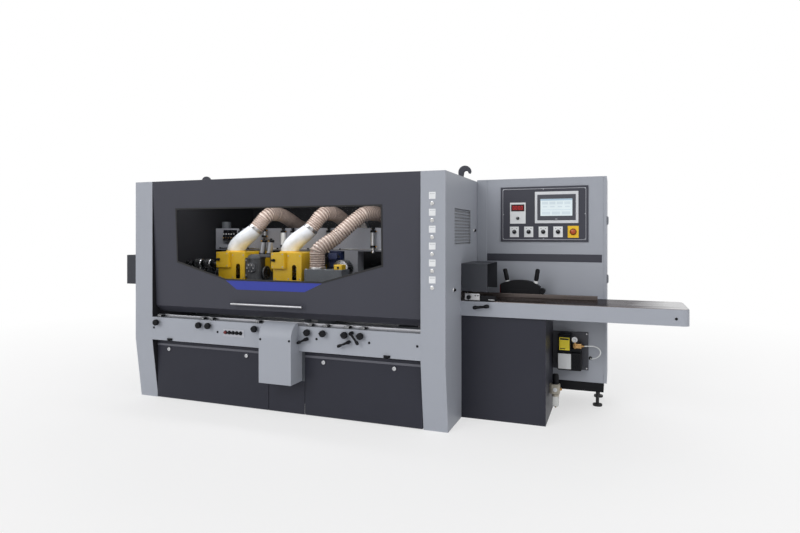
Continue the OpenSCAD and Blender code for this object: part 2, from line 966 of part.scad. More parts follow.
module chip_duct(hood) {
    function at(s) = blend(hood + duct_start, duct_rise, hood + duct_end, duct_lean, s);
    function way(s) = s == 0 ? [0, 0, 1] : slope(duct_start, duct_rise, duct_end, duct_lean, s);
    function size(s) = duct_foot_r + s * (hose_r - duct_foot_r);
    stops = [for (j = [0 : duct_rings]) j / duct_rings];
    bored_tube(
        [for (s = stops) ring(at(s), way(s), size(s), duct_sides)],
        [for (s = stops) ring(at(s), way(s), size(s) - hose_wall, duct_sides)],
        duct_sides);
}

// Hoses from the ducts over the feed beam to the rear cover
hose_lead = unit(duct_lean);
third_hose_x = left_box_x - left_box_l / 2 + third_hose_in;
third_hose_y = left_box_y + third_hose_back;

module chip_hoses() {
    run = 2 * hose_r;
    lead = run * hose_lead;
    up = [0, 0, run];
    back = [0, run, 0];
    color("rosybrown") {
        for (i = [0 : len(top_shares) - 1]) {
            hood = [top_x(i), 0, chip_top];
            leave = hood + duct_end;
            out = [top_x(i) + spigot_dx, hose_end_y, spigot_z];
            ribbed_hose([
                [leave, lead, lead, hose_ribs[0]],
                [leave + lead, lead, hose_rise, hose_ribs[1]],
                [hood + hose_crest, hose_crest_in, hose_crest_out, hose_ribs[2]],
                [out - back, hose_fall, back, hose_ribs[3]],
                [out, back, back, 0]]);
        }
        foot = [third_hose_x, third_hose_y, left_box_top];
        exit = [bay(third_spigot_share), hose_end_y, third_spigot_z];
        ribbed_hose([
            [foot, up, up, third_ribs[0]],
            [foot + up, up, third_rise, third_ribs[1]],
            [foot + third_bend, third_bend_in, third_bend_out, third_ribs[2]],
            [foot + third_crest, third_crest_in, third_crest_out, third_ribs[3]],
            [exit - back, hose_fall, back, third_ribs[4]],
            [exit, back, back, 0]]);
    }
}

// Hood with its window and handle

// The hood's face, with X as it is, Y into the machine and Z down from the top edge
module on_face() {
    translate([0, 0, enclosure_h]) rotate([face_lean, 0, 0]) children();
}

function window_outline(lap) = [
    [bay(window_left_share) - lap, -window_top + lap],
    [bay(window_right_share) + lap, -window_top + lap],
    [bay(window_right_share) + lap, -window_side - lap],
    [bay(window_low_right_share) + lap, -window_bottom - lap],
    [bay(window_low_left_share) - lap, -window_bottom - lap],
    [bay(window_left_share) - lap, -window_side - lap]];

// A plate in the shape of the window between two depths behind the face
module window_plate(y0, y1, lap) {
    translate([0, y1, 0]) rotate([90, 0, 0]) linear_extrude(y1 - y0) polygon(window_outline(lap));
}

hood_x0 = x_out + hood_side_gap;
hood_x1 = x_in - hood_side_gap;

// A point in Y and Z, so far down the hood's face and so far behind it
function fold_way(angle) = [sin(angle), -cos(angle)];
function fold_normal(angle) = [cos(angle), sin(angle)];
function face_point(down, behind) =
    [0, enclosure_h] + down * fold_way(face_lean) + behind * fold_normal(face_lean);

// The folded sheet: top return, leaning face and lower lip
function hood_outline() =
    let (t = sheet_t,
        rear = hinge_y - return_gap,
        fold = face_point(face_l, 0),
        lip = fold + lip_l * fold_way(face_lean + lip_angle),
        corner = t * (fold_normal(face_lean) + fold_normal(face_lean + lip_angle)) / (1 + cos(lip_angle)),
        under = face_point(t * (1 + sin(face_lean)) / cos(face_lean), t))
    [[rear, enclosure_h], [0, enclosure_h], fold, lip, lip + t * fold_normal(face_lean + lip_angle),
        fold + corner, under, [rear, enclosure_h - t]];

module hood_shell() {
    cheek = [
        face_point(cheek_top, sheet_t / 2), face_point(face_l - cheek_d, sheet_t / 2),
        face_point(face_l - cheek_d, cheek_d), face_point(cheek_top, cheek_d)];
    color("dimgray") difference() {
        union() {
            difference() {
                prism_x(hood_x0, hood_x1, hood_outline());
                on_face() window_plate(-overrun, sheet_t + overrun, 0);
            }
            for (x = [hood_x0, hood_x1 - sheet_t]) prism_x(x, x + sheet_t, cheek);
            for (share = hinge_shares) hood_knuckle(bay(share));
        }
        for (share = hinge_shares)
            rod_x(bay(share) - knuckle_l, bay(share) + knuckle_l, hinge_y, hinge_z, pin_r + run_gap);
    }
}

module hood_knuckle(x) {
    rod_x(x - knuckle_l / 2, x + knuckle_l / 2, hinge_y, hinge_z, knuckle_r);
    box([x - knuckle_l / 2, hinge_y - leaf_l, hinge_z - sheet_t],
        [x + knuckle_l / 2, hinge_y, hinge_z + sheet_t]);
    box([x - knuckle_l / 2, hinge_y - leaf_l, hinge_z - sheet_t],
        [x + knuckle_l / 2, hinge_y - leaf_l + sheet_t, enclosure_h]);
}

module hood_window() {
    color("lightcyan", 0.4) on_face() window_plate(sheet_t, sheet_t + pane_t, pane_lap);
}

module hood_handle() {
    x0 = bay(handle_left_share);
    x1 = bay(handle_right_share);
    color("silver") on_face() union() {
        rod_x(x0, x1, -handle_off, -handle_down, handle_r);
        for (x = [x0 + handle_inset, x1 - handle_inset])
            rod_y(x, -handle_off, 0, -handle_down, handle_post_r);
    }
}

// Lower panels and the cover box between them

module lower_panel(x0, x1, locks) {
    union() {
        box([x0, panel_y, panel_bottom], [x1, panel_y + sheet_t, panel_top]);
        box([x0, panel_y, panel_top - sheet_t], [x1, rail_d, panel_top]);
        for (x = [x0, x1 - sheet_t]) box([x, panel_y, panel_bottom], [x + sheet_t, rail_d, panel_top]);
        for (share = locks) rod_y(x1 - share * (x1 - x0), panel_y - lock_l, panel_y, lock_z, lock_r);
    }
}

module left_lower_panel() {
    color("#32323c")
        lower_panel(x_out + panel_edge, bay(post_share) - post_w / 2 - panel_edge, left_lock_shares);
}

module right_lower_panel() {
    color("#32323c")
        lower_panel(bay(post_share) + post_w / 2 + panel_edge, x_in - panel_edge, right_lock_shares);
}

box_x0 = bay(box_share) - box_w / 2;
box_x1 = bay(box_share) + box_w / 2;
box_rear = panel_y + sheet_t;

module drive_cover_box() {
    t = box_wall;
    color("darkgray") difference() {
        prism_x(box_x0, box_x1, [
            [box_y, box_bottom], [box_y, box_top - box_bevel_z], [box_y + box_bevel_y, box_top], [0, box_top],
            [0, rail_bottom - t], [box_rear, rail_bottom - t], [box_rear, box_bottom]]);
        prism_x(box_x0 + t, box_x1 - t, [
            [box_y + t, box_bottom + t], [box_y + t, box_top - box_bevel_z - t],
            [box_y + box_bevel_y + t, box_top - t],
            [overrun, box_top - t], [overrun, rail_bottom - 2 * t], [box_rear + overrun, rail_bottom - 2 * t],
            [box_rear + overrun, box_bottom + t]]);
    }
    // Skirt plate below the box, in front of the bed's post
    color("#32323c") box([bay(post_share) - post_w / 2, panel_y, panel_bottom],
        [bay(post_share) + post_w / 2, panel_y + sheet_t, box_bottom - skirt_gap]);
}

// Controls of the rail

module adjusting_knob(i) {
    z = rail_top - knob_down;
    color("#1c1c1e") union() {
        rod_y(knob_x(i), -knob_gap - knob_l, -knob_gap, z, knob_d / 2);
        rod_y(knob_x(i), -knob_gap - knob_l / 2, shaft_in, z, shaft_r);
        rod_x(knob_x(i) - knob_d / 2 - nub_l / 2, knob_x(i), -knob_gap - knob_l / 2, z, nub_r);
    }
}

// The last lever of the rail keeps its distance from the cover box
function lever_x(i) = i < len(lever_shares) ? bay(lever_shares[i]) : box_x1 + box_lever_off;
function lever_z(i) = rail_top - lever_down[i];

// A clamp lever on a shaft along Y, with its arm at an angle and a grip on the arm
module lever_shape(x, y, z, angle, arm_l, inside) {
    translate([x, y, z]) rotate([0, -angle, 0]) union() {
        rod_y(0, -lever_boss_l, -knob_gap, 0, lever_boss_r);
        rod_y(0, -lever_boss_l, inside, 0, shaft_r);
        rod_x(0, arm_l, -lever_boss_l + lever_grip_r, 0, lever_arm_r);
        rod_x(arm_l - lever_grip_l, arm_l, -lever_boss_l + lever_grip_r, 0, lever_grip_r);
    }
}

module clamp_lever(i) {
    color("#1c1c1e") {
        if (i < len(lever_down))
            lever_shape(lever_x(i), 0, lever_z(i), lever_angles[i], lever_lengths[i], shaft_in);
        else
            lever_shape(infeed_clamp_x, apron_y, infeed_clamp_z, infeed_clamp_angle, infeed_clamp_l, shaft_in);
    }
}

function button_x(i) = bay(stop_share) + i * button_pitch;

module press_button(x) {
    union() {
        rod_y(x, -keypad_t - button_gap - button_l, -keypad_t - button_gap, button_z, button_r);
        rod_y(x, -keypad_t - button_gap - button_l / 2, shaft_in, button_z, button_stem_r);
    }
}

module stop_button() {
    color("red") press_button(button_x(0));
}

module jog_buttons() {
    color("#1c1c1e") for (i = [1 : jogs]) press_button(button_x(i));
}

// Infeed end

// A plan outline with round corners at its +X end
module round_ended(x0, x1, y0, y1, r) {
    translate([x0, y0]) square([x1 - x0 - r, y1 - y0]);
    translate([x0, y0 + r]) square([x1 - x0, y1 - y0 - 2 * r]);
    for (y = [y0 + r, y1 - r]) translate([x1 - r, y]) circle(r);
}

module infeed_table() {
    y0 = apron_y + apron_t;
    y1 = apron_y + apron_d - apron_t;
    color("silver") {
        translate([0, 0, table_h - infeed_t]) linear_extrude(infeed_t)
            round_ended(table_gap, infeed_l - apron_t, y0, y1, apron_corner - apron_t);
        for (share = infeed_rib_shares)
            box([table_gap, y0 + share * (y1 - y0) - infeed_rib_t / 2, base_h],
                [infeed_l - infeed_rib_end, y0 + share * (y1 - y0) + infeed_rib_t / 2, table_h - infeed_t]);
        box([block_x, y0, table_h], [block_x + block_w, y0 + block_t, table_h + block_h]);
        box([block_x + block_w, y0, table_h], [block_x + block_w + stop_w, y0 + stop_d, table_h + stop_h]);
    }
}

module infeed_apron() {
    color("darkgray") difference() {
        translate([0, 0, base_h]) linear_extrude(table_h - apron_drop - base_h) difference() {
            round_ended(0, infeed_l, apron_y, apron_y + apron_d, apron_corner);
            round_ended(-overrun, infeed_l - apron_t, apron_y + apron_t, apron_y + apron_d - apron_t,
                apron_corner - apron_t);
        }
        rod_y(infeed_clamp_x, apron_y - overrun, apron_y + apron_t + overrun, infeed_clamp_z,
            shaft_r + run_gap);
    }
}

module infeed_base_cover() {
    color("#32323c") difference() {
        box([0, base_y, 0], [base_l, base_y + base_d, base_h]);
        box([-overrun, base_y + base_wall, -overrun],
            [base_l - base_wall, base_y + base_d - base_wall, base_h - base_wall]);
    }
}

// A guard over the wood, open below and at both ends
module tunnel_guard(x0, x1, z0, z1) {
    difference() {
        box([x0, guard_y, z0], [x1, guard_y + guard_d, z1]);
        box([x0 - overrun, guard_y + sheet_t, z0 - overrun],
            [x1 + overrun, guard_y + guard_d - sheet_t, z1 - sheet_t]);
    }
}

module tunnel_guards() {
    color("#3c3d42") {
        tunnel_guard(0, guard_l, guard_z, guard_z + guard_h);
        tunnel_guard(x_end - outfeed_l, x_end, outguard_z, outguard_z + outguard_h);
    }
}

// Black guide on the fence with two upright grips
module side_guide() {
    y0 = fence_y + guide_set;
    z0 = table_h + fence_h;
    crown_r = (guide_l ^ 2 / 4 + guide_crown ^ 2) / (2 * guide_crown);
    grip_z = z0 + guide_h - guide_grip_sink;
    grip_l = guide_grip_l + 2 * guide_grip_sink;
    color("#1a1a1c") union() {
        box([guide_x, y0, z0], [guide_x + guide_l, y0 + guide_t, z0 + guide_h]);
        intersection() {
            rod_y(guide_x + guide_l / 2, y0, y0 + guide_t, z0 + guide_h + guide_crown - crown_r, crown_r);
            box([guide_x, y0, z0], [guide_x + guide_l, y0 + guide_t, z0 + guide_h + guide_crown]);
        }
        rod_y(guide_x + guide_l + guide_end_r / 2, y0, y0 + guide_t, z0 + guide_end_r, guide_end_r);
        for (i = [0 : len(guide_grip_shares) - 1])
            translate([guide_x + guide_grip_shares[i] * guide_l, y0 + guide_t / 2, grip_z])
                rotate([0, guide_grip_tilts[i], 0]) cylinder(r = guide_grip_r, h = grip_l);
    }
}

// Cabinet, door and instruments

door_axis_y = enclosure_d - door_knuckle_r;
door_axis_x = cabinet_w + door_knuckle_r;

// Sheets with a seam between them: front, rear with the door's pins, left side, floor and roof
module cabinet_shell() {
    t = cabinet_wall;
    inner = t + sheet_seam;
    color("darkgray") {
        difference() {
            box([0, cabinet_y, cabinet_bottom], [cabinet_w, cabinet_y + t, cabinet_h]);
            for (i = [0 : selectors])
                rod_y(selector_place(i), cabinet_y - overrun, cabinet_y + t + overrun, selector_z,
                    selector_shaft_r + run_gap);
        }
        union() {
            box([0, enclosure_d - t, cabinet_bottom], [cabinet_w, enclosure_d, cabinet_h]);
            for (share = [door_knuckle_share, 1 - door_knuckle_share]) door_pin(door_z(share));
        }
        box([0, cabinet_y + inner, cabinet_bottom], [t, enclosure_d - inner, cabinet_h]);
        for (z = [cabinet_bottom, cabinet_h - t])
            box([inner, cabinet_y + inner, z], [cabinet_w, enclosure_d - inner, z + t]);
        switchgear();
    }
}

function door_z(share) = cabinet_bottom + plinth_h + share * (cabinet_h - cabinet_bottom - plinth_h);

// A hinge pin on a block behind the door's edge
module door_pin(z) {
    rod_z(door_axis_x, door_axis_y, z - door_knuckle_l, z + door_knuckle_l / 2, door_pin_r);
    rod_z(door_axis_x, door_axis_y, z - door_knuckle_l, z - door_knuckle_l / 2 - door_gap, door_knuckle_r);
    box([cabinet_w - 2 * door_knuckle_r, door_axis_y + door_pin_r, z - door_knuckle_l],
        [door_axis_x, enclosure_d, z - door_knuckle_l / 2 - door_gap]);
}

module switchgear() {
    rear = enclosure_d - cabinet_wall - sheet_seam;
    box([relay_x, rear - plate_t, relay_z - relay_h],
        [relay_x + relays * relay_pitch, rear, relay_z + relay_rows * relay_row_pitch]);
    for (row = [0 : relay_rows - 1]) for (i = [0 : relays - 1])
        translate([relay_x + i * relay_pitch, rear - plate_t - relay_d, relay_z + row * relay_row_pitch])
            cube([relay_w, relay_d, relay_h]);
}

// The door closes the cabinet's +X side
module cabinet_door() {
    z0 = cabinet_bottom + plinth_h;
    x0 = cabinet_w + door_gap;
    x1 = x0 + door_t;
    half = door_knuckle_l / 2;
    leaf_y = door_axis_y - door_knuckle_r - cover_gap;
    color("darkgray") difference() {
        union() {
            box([x0, cabinet_y, z0], [x1, leaf_y, cabinet_h]);
            for (z = door_lock_zs)
                box([x1 - door_gap, cabinet_y + door_edge, z - door_lock_h / 2],
                    [x1 - door_gap + door_lock_t, cabinet_y + door_edge + door_lock_w, z + door_lock_h / 2]);
            for (share = [door_knuckle_share, 1 - door_knuckle_share]) {
                z = door_z(share);
                rod_z(door_axis_x, door_axis_y, z - half, z + half, door_knuckle_r);
                box([x0, leaf_y - door_knuckle_r, z - half], [door_axis_x, door_axis_y, z + half]);
            }
        }
        for (share = [door_knuckle_share, 1 - door_knuckle_share])
            rod_z(door_axis_x, door_axis_y, door_z(share) - door_knuckle_l, door_z(share) + door_knuckle_l,
                door_pin_r + run_gap);
    }
}

panel_front = cabinet_y - panel_t;
function selector_place(i) = selector_x + i * selector_pitch;

module control_panel() {
    color("#3a3b42") difference() {
        union() {
            box([panel_x, panel_front, panel_z], [panel_x + panel_w, cabinet_y, panel_z + panel_h]);
            difference() {
                panel_line_box(panel_inset, 0);
                panel_line_box(panel_inset + panel_line, overrun);
            }
        }
        for (i = [0 : selectors])
            rod_y(selector_place(i), panel_front - overrun, cabinet_y + overrun, selector_z,
                selector_shaft_r + run_gap);
    }
    color("#32323c") box([band_x, cabinet_y - band_t, band_z], [band_x + band_w, cabinet_y, band_z + band_h]);
}

// A box in front of the panel, set in from its edges
module panel_line_box(inset, more) {
    box([panel_x + inset, panel_front - panel_line_t - more, panel_z + inset],
        [panel_x + panel_w - inset, panel_front + more, panel_z + panel_h - inset]);
}

// A box in front of the panel about the middle of the screen
module screen_box(w, h, y0, y1) {
    x = screen_x + screen_w / 2;
    z = screen_z + screen_h / 2;
    box([x - w / 2, y0, z - h / 2], [x + w / 2, y1, z + h / 2]);
}

module touch_screen() {
    frame_y = panel_front - screen_t;
    bezel_y = frame_y - bezel_t;
    color("gainsboro") screen_box(screen_w, screen_h, frame_y, panel_front);
    color("#2a2b30") screen_box(bezel_w, bezel_h, bezel_y, frame_y);
    color("white") screen_box(glass_w, glass_h, bezel_y - glass_t, bezel_y);
}

module indicator_plates() {
    pillar_plates();
    rail_plates();
    panel_plates();
}

module pillar_plates() {
    for (i = [0 : lamps - 1]) {
        z = lamp_z - i * lamp_pitch;
        color("white") box([-lamp_x - label_w / 2, -label_t, z + label_up - label_w / 2],
            [-lamp_x + label_w / 2, 0, z + label_up + label_w / 2]);
        color("gainsboro") rod_y(-lamp_x, -lamp_l, 0, z, lamp_r);
    }
}

module rail_plates() {
    x = bay(keypad_share) + keypad_w / 2;
    color("white") difference() {
        box([x - keypad_w / 2, -keypad_t, keypad_z - keypad_h / 2],
            [x + keypad_w / 2, 0, keypad_z + keypad_h / 2]);
        for (i = [0 : jogs])
            rod_y(button_x(i), -keypad_t - overrun, overrun, button_z, button_stem_r + run_gap);
    }
    color("#1c1c1e") for (i = [0 : len(knob_shares) - 1])
        box([knob_x(i) - counter_w / 2, counter_y, rail_top],
            [knob_x(i) + counter_w / 2, counter_y + counter_d, rail_top + counter_h]);
}

module panel_plates() {
    for (i = [0 : selectors]) {
        w = i < selectors ? selector_w : estop_w;
        h = i < selectors ? selector_h : estop_h;
        color(i < selectors ? "silver" : "gold") difference() {
            box([selector_place(i) - w / 2, panel_front - label_t, selector_z - h / 2],
                [selector_place(i) + w / 2, panel_front, selector_z + h / 2]);
            rod_y(selector_place(i), panel_front - overrun, panel_front + overrun, selector_z,
                selector_shaft_r + run_gap);
        }
    }
    face = panel_front - meter_t;
    middle = meter_x + meter_w / 2;
    color("silver") box([meter_x, face, meter_z], [meter_x + meter_w, panel_front, meter_z + meter_h]);
    color("red") box([middle - display_w / 2, face - display_t, meter_z + display_up],
        [middle + display_w / 2, face, meter_z + display_up + display_h]);
    color("#1c1c1e") rod_y(middle, face - meter_knob_l, face, meter_z + meter_knob_up, meter_knob_r);
}

module selector_switch(i) {
    x = selector_place(i);
    face = panel_front - label_t - panel_line_t;
    color("#1c1c1e") union() {
        rod_y(x, face - selector_l / 2, face, selector_z, selector_r);
        box([x - selector_grip / 2, face - selector_l, selector_z - selector_r],
            [x + selector_grip / 2, face, selector_z + selector_r - panel_line_t]);
        rod_y(x, face - selector_l / 2, cabinet_y + selector_in, selector_z, selector_shaft_r);
    }
}

module estop_button() {
    x = selector_place(selectors);
    face = panel_front - label_t - estop_gap;
    color("red") union() {
        rod_y(x, face - estop_l, face, selector_z, estop_r);
        rod_y(x, face - estop_l / 2, cabinet_y + selector_in, selector_z, selector_shaft_r);
    }
}

// Oil pump with its tube, and air unit

module service_units() {
    front = cabinet_y - oil_plate_t;
    color("#1f2022") box([oil_x, front, oil_z], [oil_x + oil_w, cabinet_y, oil_z + oil_h]);
    color("#2a2b2d") union() {
        box([pump_x, front - pump_d, pump_z], [pump_x + pump_w, front, pump_z + pump_h]);
        rod_y(gauge_x, front - pump_d - gauge_l, front - pump_d, gauge_z, gauge_r);
        rod_x(pump_x + pump_w, pump_x + pump_w + fitting_l, tube_y, fitting_z, fitting_r);
    }
    color("tan") air_unit(base_l + air_x, air_y);
}

module air_unit(x, y) {
    w = air_body_w;
    union() {
        box([base_l, y - w / 4, air_body_z], [x, y + w / 4, air_body_z + air_body_h]);
        box([x - w / 2, y - w / 2, air_body_z], [x + w / 2, y + w / 2, air_body_z + air_body_h]);
        rod_z(x, y, air_body_z - air_bowl_h, air_body_z, air_bowl_r);
        rod_z(x, y, air_body_z + air_body_h, air_body_z + air_body_h + air_knob_h, air_knob_r);
    }
}

// Route of the oil tube from the pump's fitting to the cabinet, chosen by hand
tube_route = [
    [pump_x + pump_w + fitting_l, tube_y, fitting_z], [830, 838, 478], [870, 840, 478], [900, 844, 466],
    [916, 848, 442], [910, 852, 414], [888, 856, 394], [862, 862, 384], [848, 874, 380],
    [846, 888, 380], [846, cabinet_y, 380]];

module lube_tube() {
    n = len(tube_route) - 1;
    function heading(i) =
        i == 0 ? [1, 0, 0.001] : i == n ? [0, 1, 0] : tube_route[i + 1] - tube_route[i - 1];
    function tube_ring(i) =
        let (axis = unit(heading(i)), side = unit(cross(axis, [0, 0.6, 0.8])), up = cross(axis, side))
        [for (k = [0 : tube_sides - 1]) let (a = 360 * k / tube_sides)
            tube_route[i] + tube_r * (cos(a) * side + sin(a) * up)];
    color("lightcyan") polyhedron(
        points = [for (i = [0 : n]) each tube_ring(i)],
        faces = concat(
            [for (i = [0 : n - 1]) each band(i * tube_sides, (i + 1) * tube_sides, tube_sides)],
            [for (k = [1 : tube_sides - 2]) [0, k, k + 1]],
            [for (k = [1 : tube_sides - 2]) [n * tube_sides, n * tube_sides + k + 1, n * tube_sides + k]]),
        convexity = 6);
}

// Fasteners and feet, and the hooks that the pillars carry

module fasteners() {
    color("#1c1c1e") {
        for (share = bolt_shares) rod_y(bay(share), -bolt_l, 0, bolt_z, bolt_r);
        for (x = [box_x0 + box_bolt_inset, box_x1 - box_bolt_inset])
            rod_y(x, box_y - bolt_l, box_y, box_bolt_z, bolt_r);
        rod_y(infeed_l - apron_bolt_in, apron_y - bolt_l, apron_y, table_h - apron_bolt_down, bolt_r);
        for (share = catch_shares)
            box([bay(share) - catch_w / 2, -catch_t, catch_z - catch_h / 2],
                [bay(share) + catch_w / 2, 0, catch_z + catch_h / 2]);
        rod_x(0, bolt_l, side_lock_y, side_lock_z, side_lock_r);
        rod_x(0, bolt_l, front_lock_y, front_lock_z, side_lock_r);
    }
}

module levelling_foot(x, y, pad_r, top) {
    rod_z(x, y, 0, foot_h, pad_r);
    rod_z(x, y, foot_h, top, foot_stem_r);
}

module levelling_feet() {
    color("#1c1c1e") {
        for (share = foot_shares) for (y = [rail_d + foot_inset, bed_rear - foot_inset])
            levelling_foot(bay(share), y, foot_r, bed_bottom);
        for (x = [cabinet_foot_x, cabinet_w - cabinet_foot_x])
            for (y = [cabinet_y + cabinet_foot_front, enclosure_d - cabinet_foot_rear])
                levelling_foot(x, y, cabinet_foot_r, cabinet_bottom);
    }
}

// A plate hook that opens towards +X, on a round foot
module lifting_hook(x) {
    rod_z(x, hook_y, enclosure_h, enclosure_h + hook_foot_h, hook_foot_r);
    translate([x, hook_y + hook_t / 2, enclosure_h + hook_foot_h]) rotate([90, 0, 0]) linear_extrude(hook_t) {
        translate([-hook_r, 0]) square([2 * hook_r, hook_post]);
        translate([hook_bend, hook_post]) difference() {
            circle(hook_bend + hook_r);
            circle(hook_bend - hook_r);
            translate([-2 * hook_bend, -2 * hook_bend]) square([4 * hook_bend, 2 * hook_bend]);
        }
    }
}

place() bed_frame();
place() outfeed_pillar();
place() infeed_pillar();
place() rear_cover();
place() front_rail();
place() work_tables();
place() guide_fence();
place() infeed_table();
place() infeed_apron();
place() infeed_base_cover();
place() drive_cover_box();
place() tunnel_guards();
place() cabinet_shell();
place() control_panel();
place() touch_screen();
place() indicator_plates();
place() service_units();
place() lube_tube();
place() chip_hoods();
place() chip_ducts();
place() chip_hoses();
place() spindle_units();
place() spindle_motors();
place() fasteners();
place() levelling_feet();
place() hood_shell();
place() hood_window();
place() hood_handle();
place() left_lower_panel();
place() right_lower_panel();
place() cabinet_door();
place() bottom_spindle();
place() right_spindle();
place() left_spindle();
place() feed_beam();
place() estop_button();
place() side_guide();
place() stop_button();
place() jog_buttons();
for (i = [0 : len(top_nodes) - 1])
    place() flat_spindle(top_x(i), top_z);
for (i = [0 : len(roller_nodes) - 1])
    place() feed_roller(i);
for (i = [0 : len(knob_nodes) - 1])
    place() adjusting_knob(i);
for (i = [0 : len(lever_nodes) - 1])
    place() clamp_lever(i);
for (i = [0 : len(selector_nodes) - 1])
    place() selector_switch(i);
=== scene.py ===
"""Looks of the four sided moulder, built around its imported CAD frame."""

import json
import math

import bmesh
import bpy
from mathutils import Matrix, Vector

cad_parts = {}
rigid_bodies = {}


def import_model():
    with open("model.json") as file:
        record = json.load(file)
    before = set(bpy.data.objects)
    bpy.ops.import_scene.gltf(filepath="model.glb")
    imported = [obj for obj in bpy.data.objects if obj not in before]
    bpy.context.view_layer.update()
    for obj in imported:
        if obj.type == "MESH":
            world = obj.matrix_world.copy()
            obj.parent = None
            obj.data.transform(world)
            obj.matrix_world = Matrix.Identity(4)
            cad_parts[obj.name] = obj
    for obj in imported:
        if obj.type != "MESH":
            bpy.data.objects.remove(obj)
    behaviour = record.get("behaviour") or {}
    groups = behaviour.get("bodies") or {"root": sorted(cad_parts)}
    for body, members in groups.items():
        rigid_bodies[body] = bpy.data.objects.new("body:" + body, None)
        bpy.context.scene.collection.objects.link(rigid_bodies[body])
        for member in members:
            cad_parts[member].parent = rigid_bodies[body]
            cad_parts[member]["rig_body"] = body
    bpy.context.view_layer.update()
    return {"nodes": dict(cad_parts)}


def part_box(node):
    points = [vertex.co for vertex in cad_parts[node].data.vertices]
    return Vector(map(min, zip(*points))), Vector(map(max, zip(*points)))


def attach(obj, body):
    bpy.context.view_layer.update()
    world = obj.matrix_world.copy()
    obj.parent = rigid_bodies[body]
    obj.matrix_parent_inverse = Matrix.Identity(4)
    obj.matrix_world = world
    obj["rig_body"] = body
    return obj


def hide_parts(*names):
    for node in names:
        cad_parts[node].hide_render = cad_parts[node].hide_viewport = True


bl_info = {
    "name": "Four sided moulder",
    "version": (1, 0, 0),
    "blender": (4, 5, 0),
    "location": "View3D > Sidebar > Moulder",
    "description": "Builds the finishes and small parts of a four sided moulder around its frame",
    "category": "Object",
}

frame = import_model()
NODES = frame["nodes"]
MACHINE = "machine"

# Places are written in millimetres from the infeed pillar's outer face, the front plane and the floor
MM = 0.001
CORNER = Vector((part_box("infeed_base_cover")[0].x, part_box("front_rail")[0].y, 0.0))
BAY_START = -168.0
BAY_LENGTH = 2214.0
ROOF = 1700.0
REAR = 1350
TABLE_TOP = 825
KNOB_SHARES = (0.974, 0.791, 0.753, 0.568, 0.373, 0.3175, 0.243, 0.19)
KNOB_HEIGHT = 604
COVER_BOX_SHARE, COVER_BOX_HALF = 0.4685, 130.5
SELECTOR_PLACES = [292 + 108 * i for i in range(4)]
STOP_PLACE = 724
SWITCH_HEIGHT = 1307
CYLINDER_DEPTH = 722
PIPED_BELOW = 1200
HOSE_RADIUS = 60.0
HOSE_RUN = 120.0
DUCT_FOOT_RADIUS = 74.0
DUCT_LEAN = Vector((95, 66, 150))
MERGE, WELD, TOUCH = 1e-6, 2e-5, 1e-5
FLAT_ANGLE, EDGE_ANGLE, FOLD_ANGLE = math.radians(0.6), math.radians(28), 0.6
FACE_LEAN = math.atan(40.0 / 970.0)
X_WAY, Y_WAY, Z_WAY = Vector((1, 0, 0)), Vector((0, 1, 0)), Vector((0, 0, 1))
FRONT = -Y_WAY


def at(x, y, z):
    """A place of the machine in the frame, in metres."""
    return CORNER + Vector((x, y, z)) * MM


def bay(share):
    """X of a share of the bay between the pillars, from the infeed side."""
    return BAY_START - share * BAY_LENGTH


BOX_HOSE_FOOT = (bay(0.4) - 82.5, 390, 1020)


def on_hood(x, down, out):
    """A place so far down the hood's leaning face and so far in front of it."""
    s, c = math.sin(FACE_LEAN), math.cos(FACE_LEAN)
    return at(x, down * s - out * c, ROOF - down * c - out * s)


def paint_value(r, g, b):
    """A colour given as it shows on a screen, in the linear values that a shader takes."""
    def linear(v):
        v /= 255.0
        return v / 12.92 if v <= 0.04045 else ((v + 0.055) / 1.055) ** 2.4
    return (linear(r), linear(g), linear(b), 1.0)


def colour(label, about, r, g, b):
    return bpy.props.FloatVectorProperty(
        name=label, description=about, subtype="COLOR", size=4, min=0.0, max=1.0,
        default=paint_value(r, g, b))


def length(label, about, millimetres):
    return bpy.props.FloatProperty(
        name=label, description=about, default=millimetres * MM, min=0.0, unit="LENGTH")


class MoulderColours(bpy.types.PropertyGroup):
    """Colours of the machine's finishes."""

    light: colour("Light paint", "Pillars, rail, cabinet and apron", 160, 164, 173)
    hood: colour("Hood paint", "Lifting hood and control panel", 63, 64, 73)
    panel: colour("Panel paint", "Lower panels and infeed cover", 47, 48, 57)
    guard: colour("Guard paint", "Guards over the wood", 58, 60, 66)
    band: colour("Band", "Band under the window", 34, 50, 150)
    chip_hood: colour("Chip hood paint", "Hoods over the top spindles", 222, 180, 28)
    motor: colour("Motor paint", "Feed motor and spindle motors", 30, 44, 88)
    casting: colour("Casting paint", "Cast boxes and spindle units", 96, 100, 106)
    hose: colour("Hose wall", "Ribbed extraction hoses", 164, 144, 134)
    duct: colour("Duct", "Milky ducts on the chip hoods", 230, 234, 240)
    floor: colour("Floor", "Floor under the machine", 250, 250, 251)


class MoulderSizes(bpy.types.PropertyGroup):
    """Sizes of the edges and small parts."""

    sheet_edge: length("Sheet edge", "Rounding of folded sheet edges", 3.0)
    casting_edge: length("Casting edge", "Rounding of cast and painted blocks", 7.0)
    steel_edge: length("Steel edge", "Rounding of machined edges", 1.5)
    pane_seal: length("Pane seal", "Width of the rubber round the window", 9.0)
    hose_rib: length("Hose rib", "Depth of a hose rib", 4.0)


def colours():
    return bpy.context.scene.moulder_colours


def sizes():
    return bpy.context.scene.moulder_sizes


# Shader groups

def socket(tree, label, way, kind, value=None):
    made = tree.interface.new_socket(name=label, in_out=way, socket_type=kind)
    if value is not None:
        made.default_value = value
    return made


def shader_node(tree, kind, **settings):
    made = tree.nodes.new(kind)
    for key, value in settings.items():
        if key in made.inputs:
            made.inputs[key].default_value = value
        else:
            setattr(made, key, value)
    return made


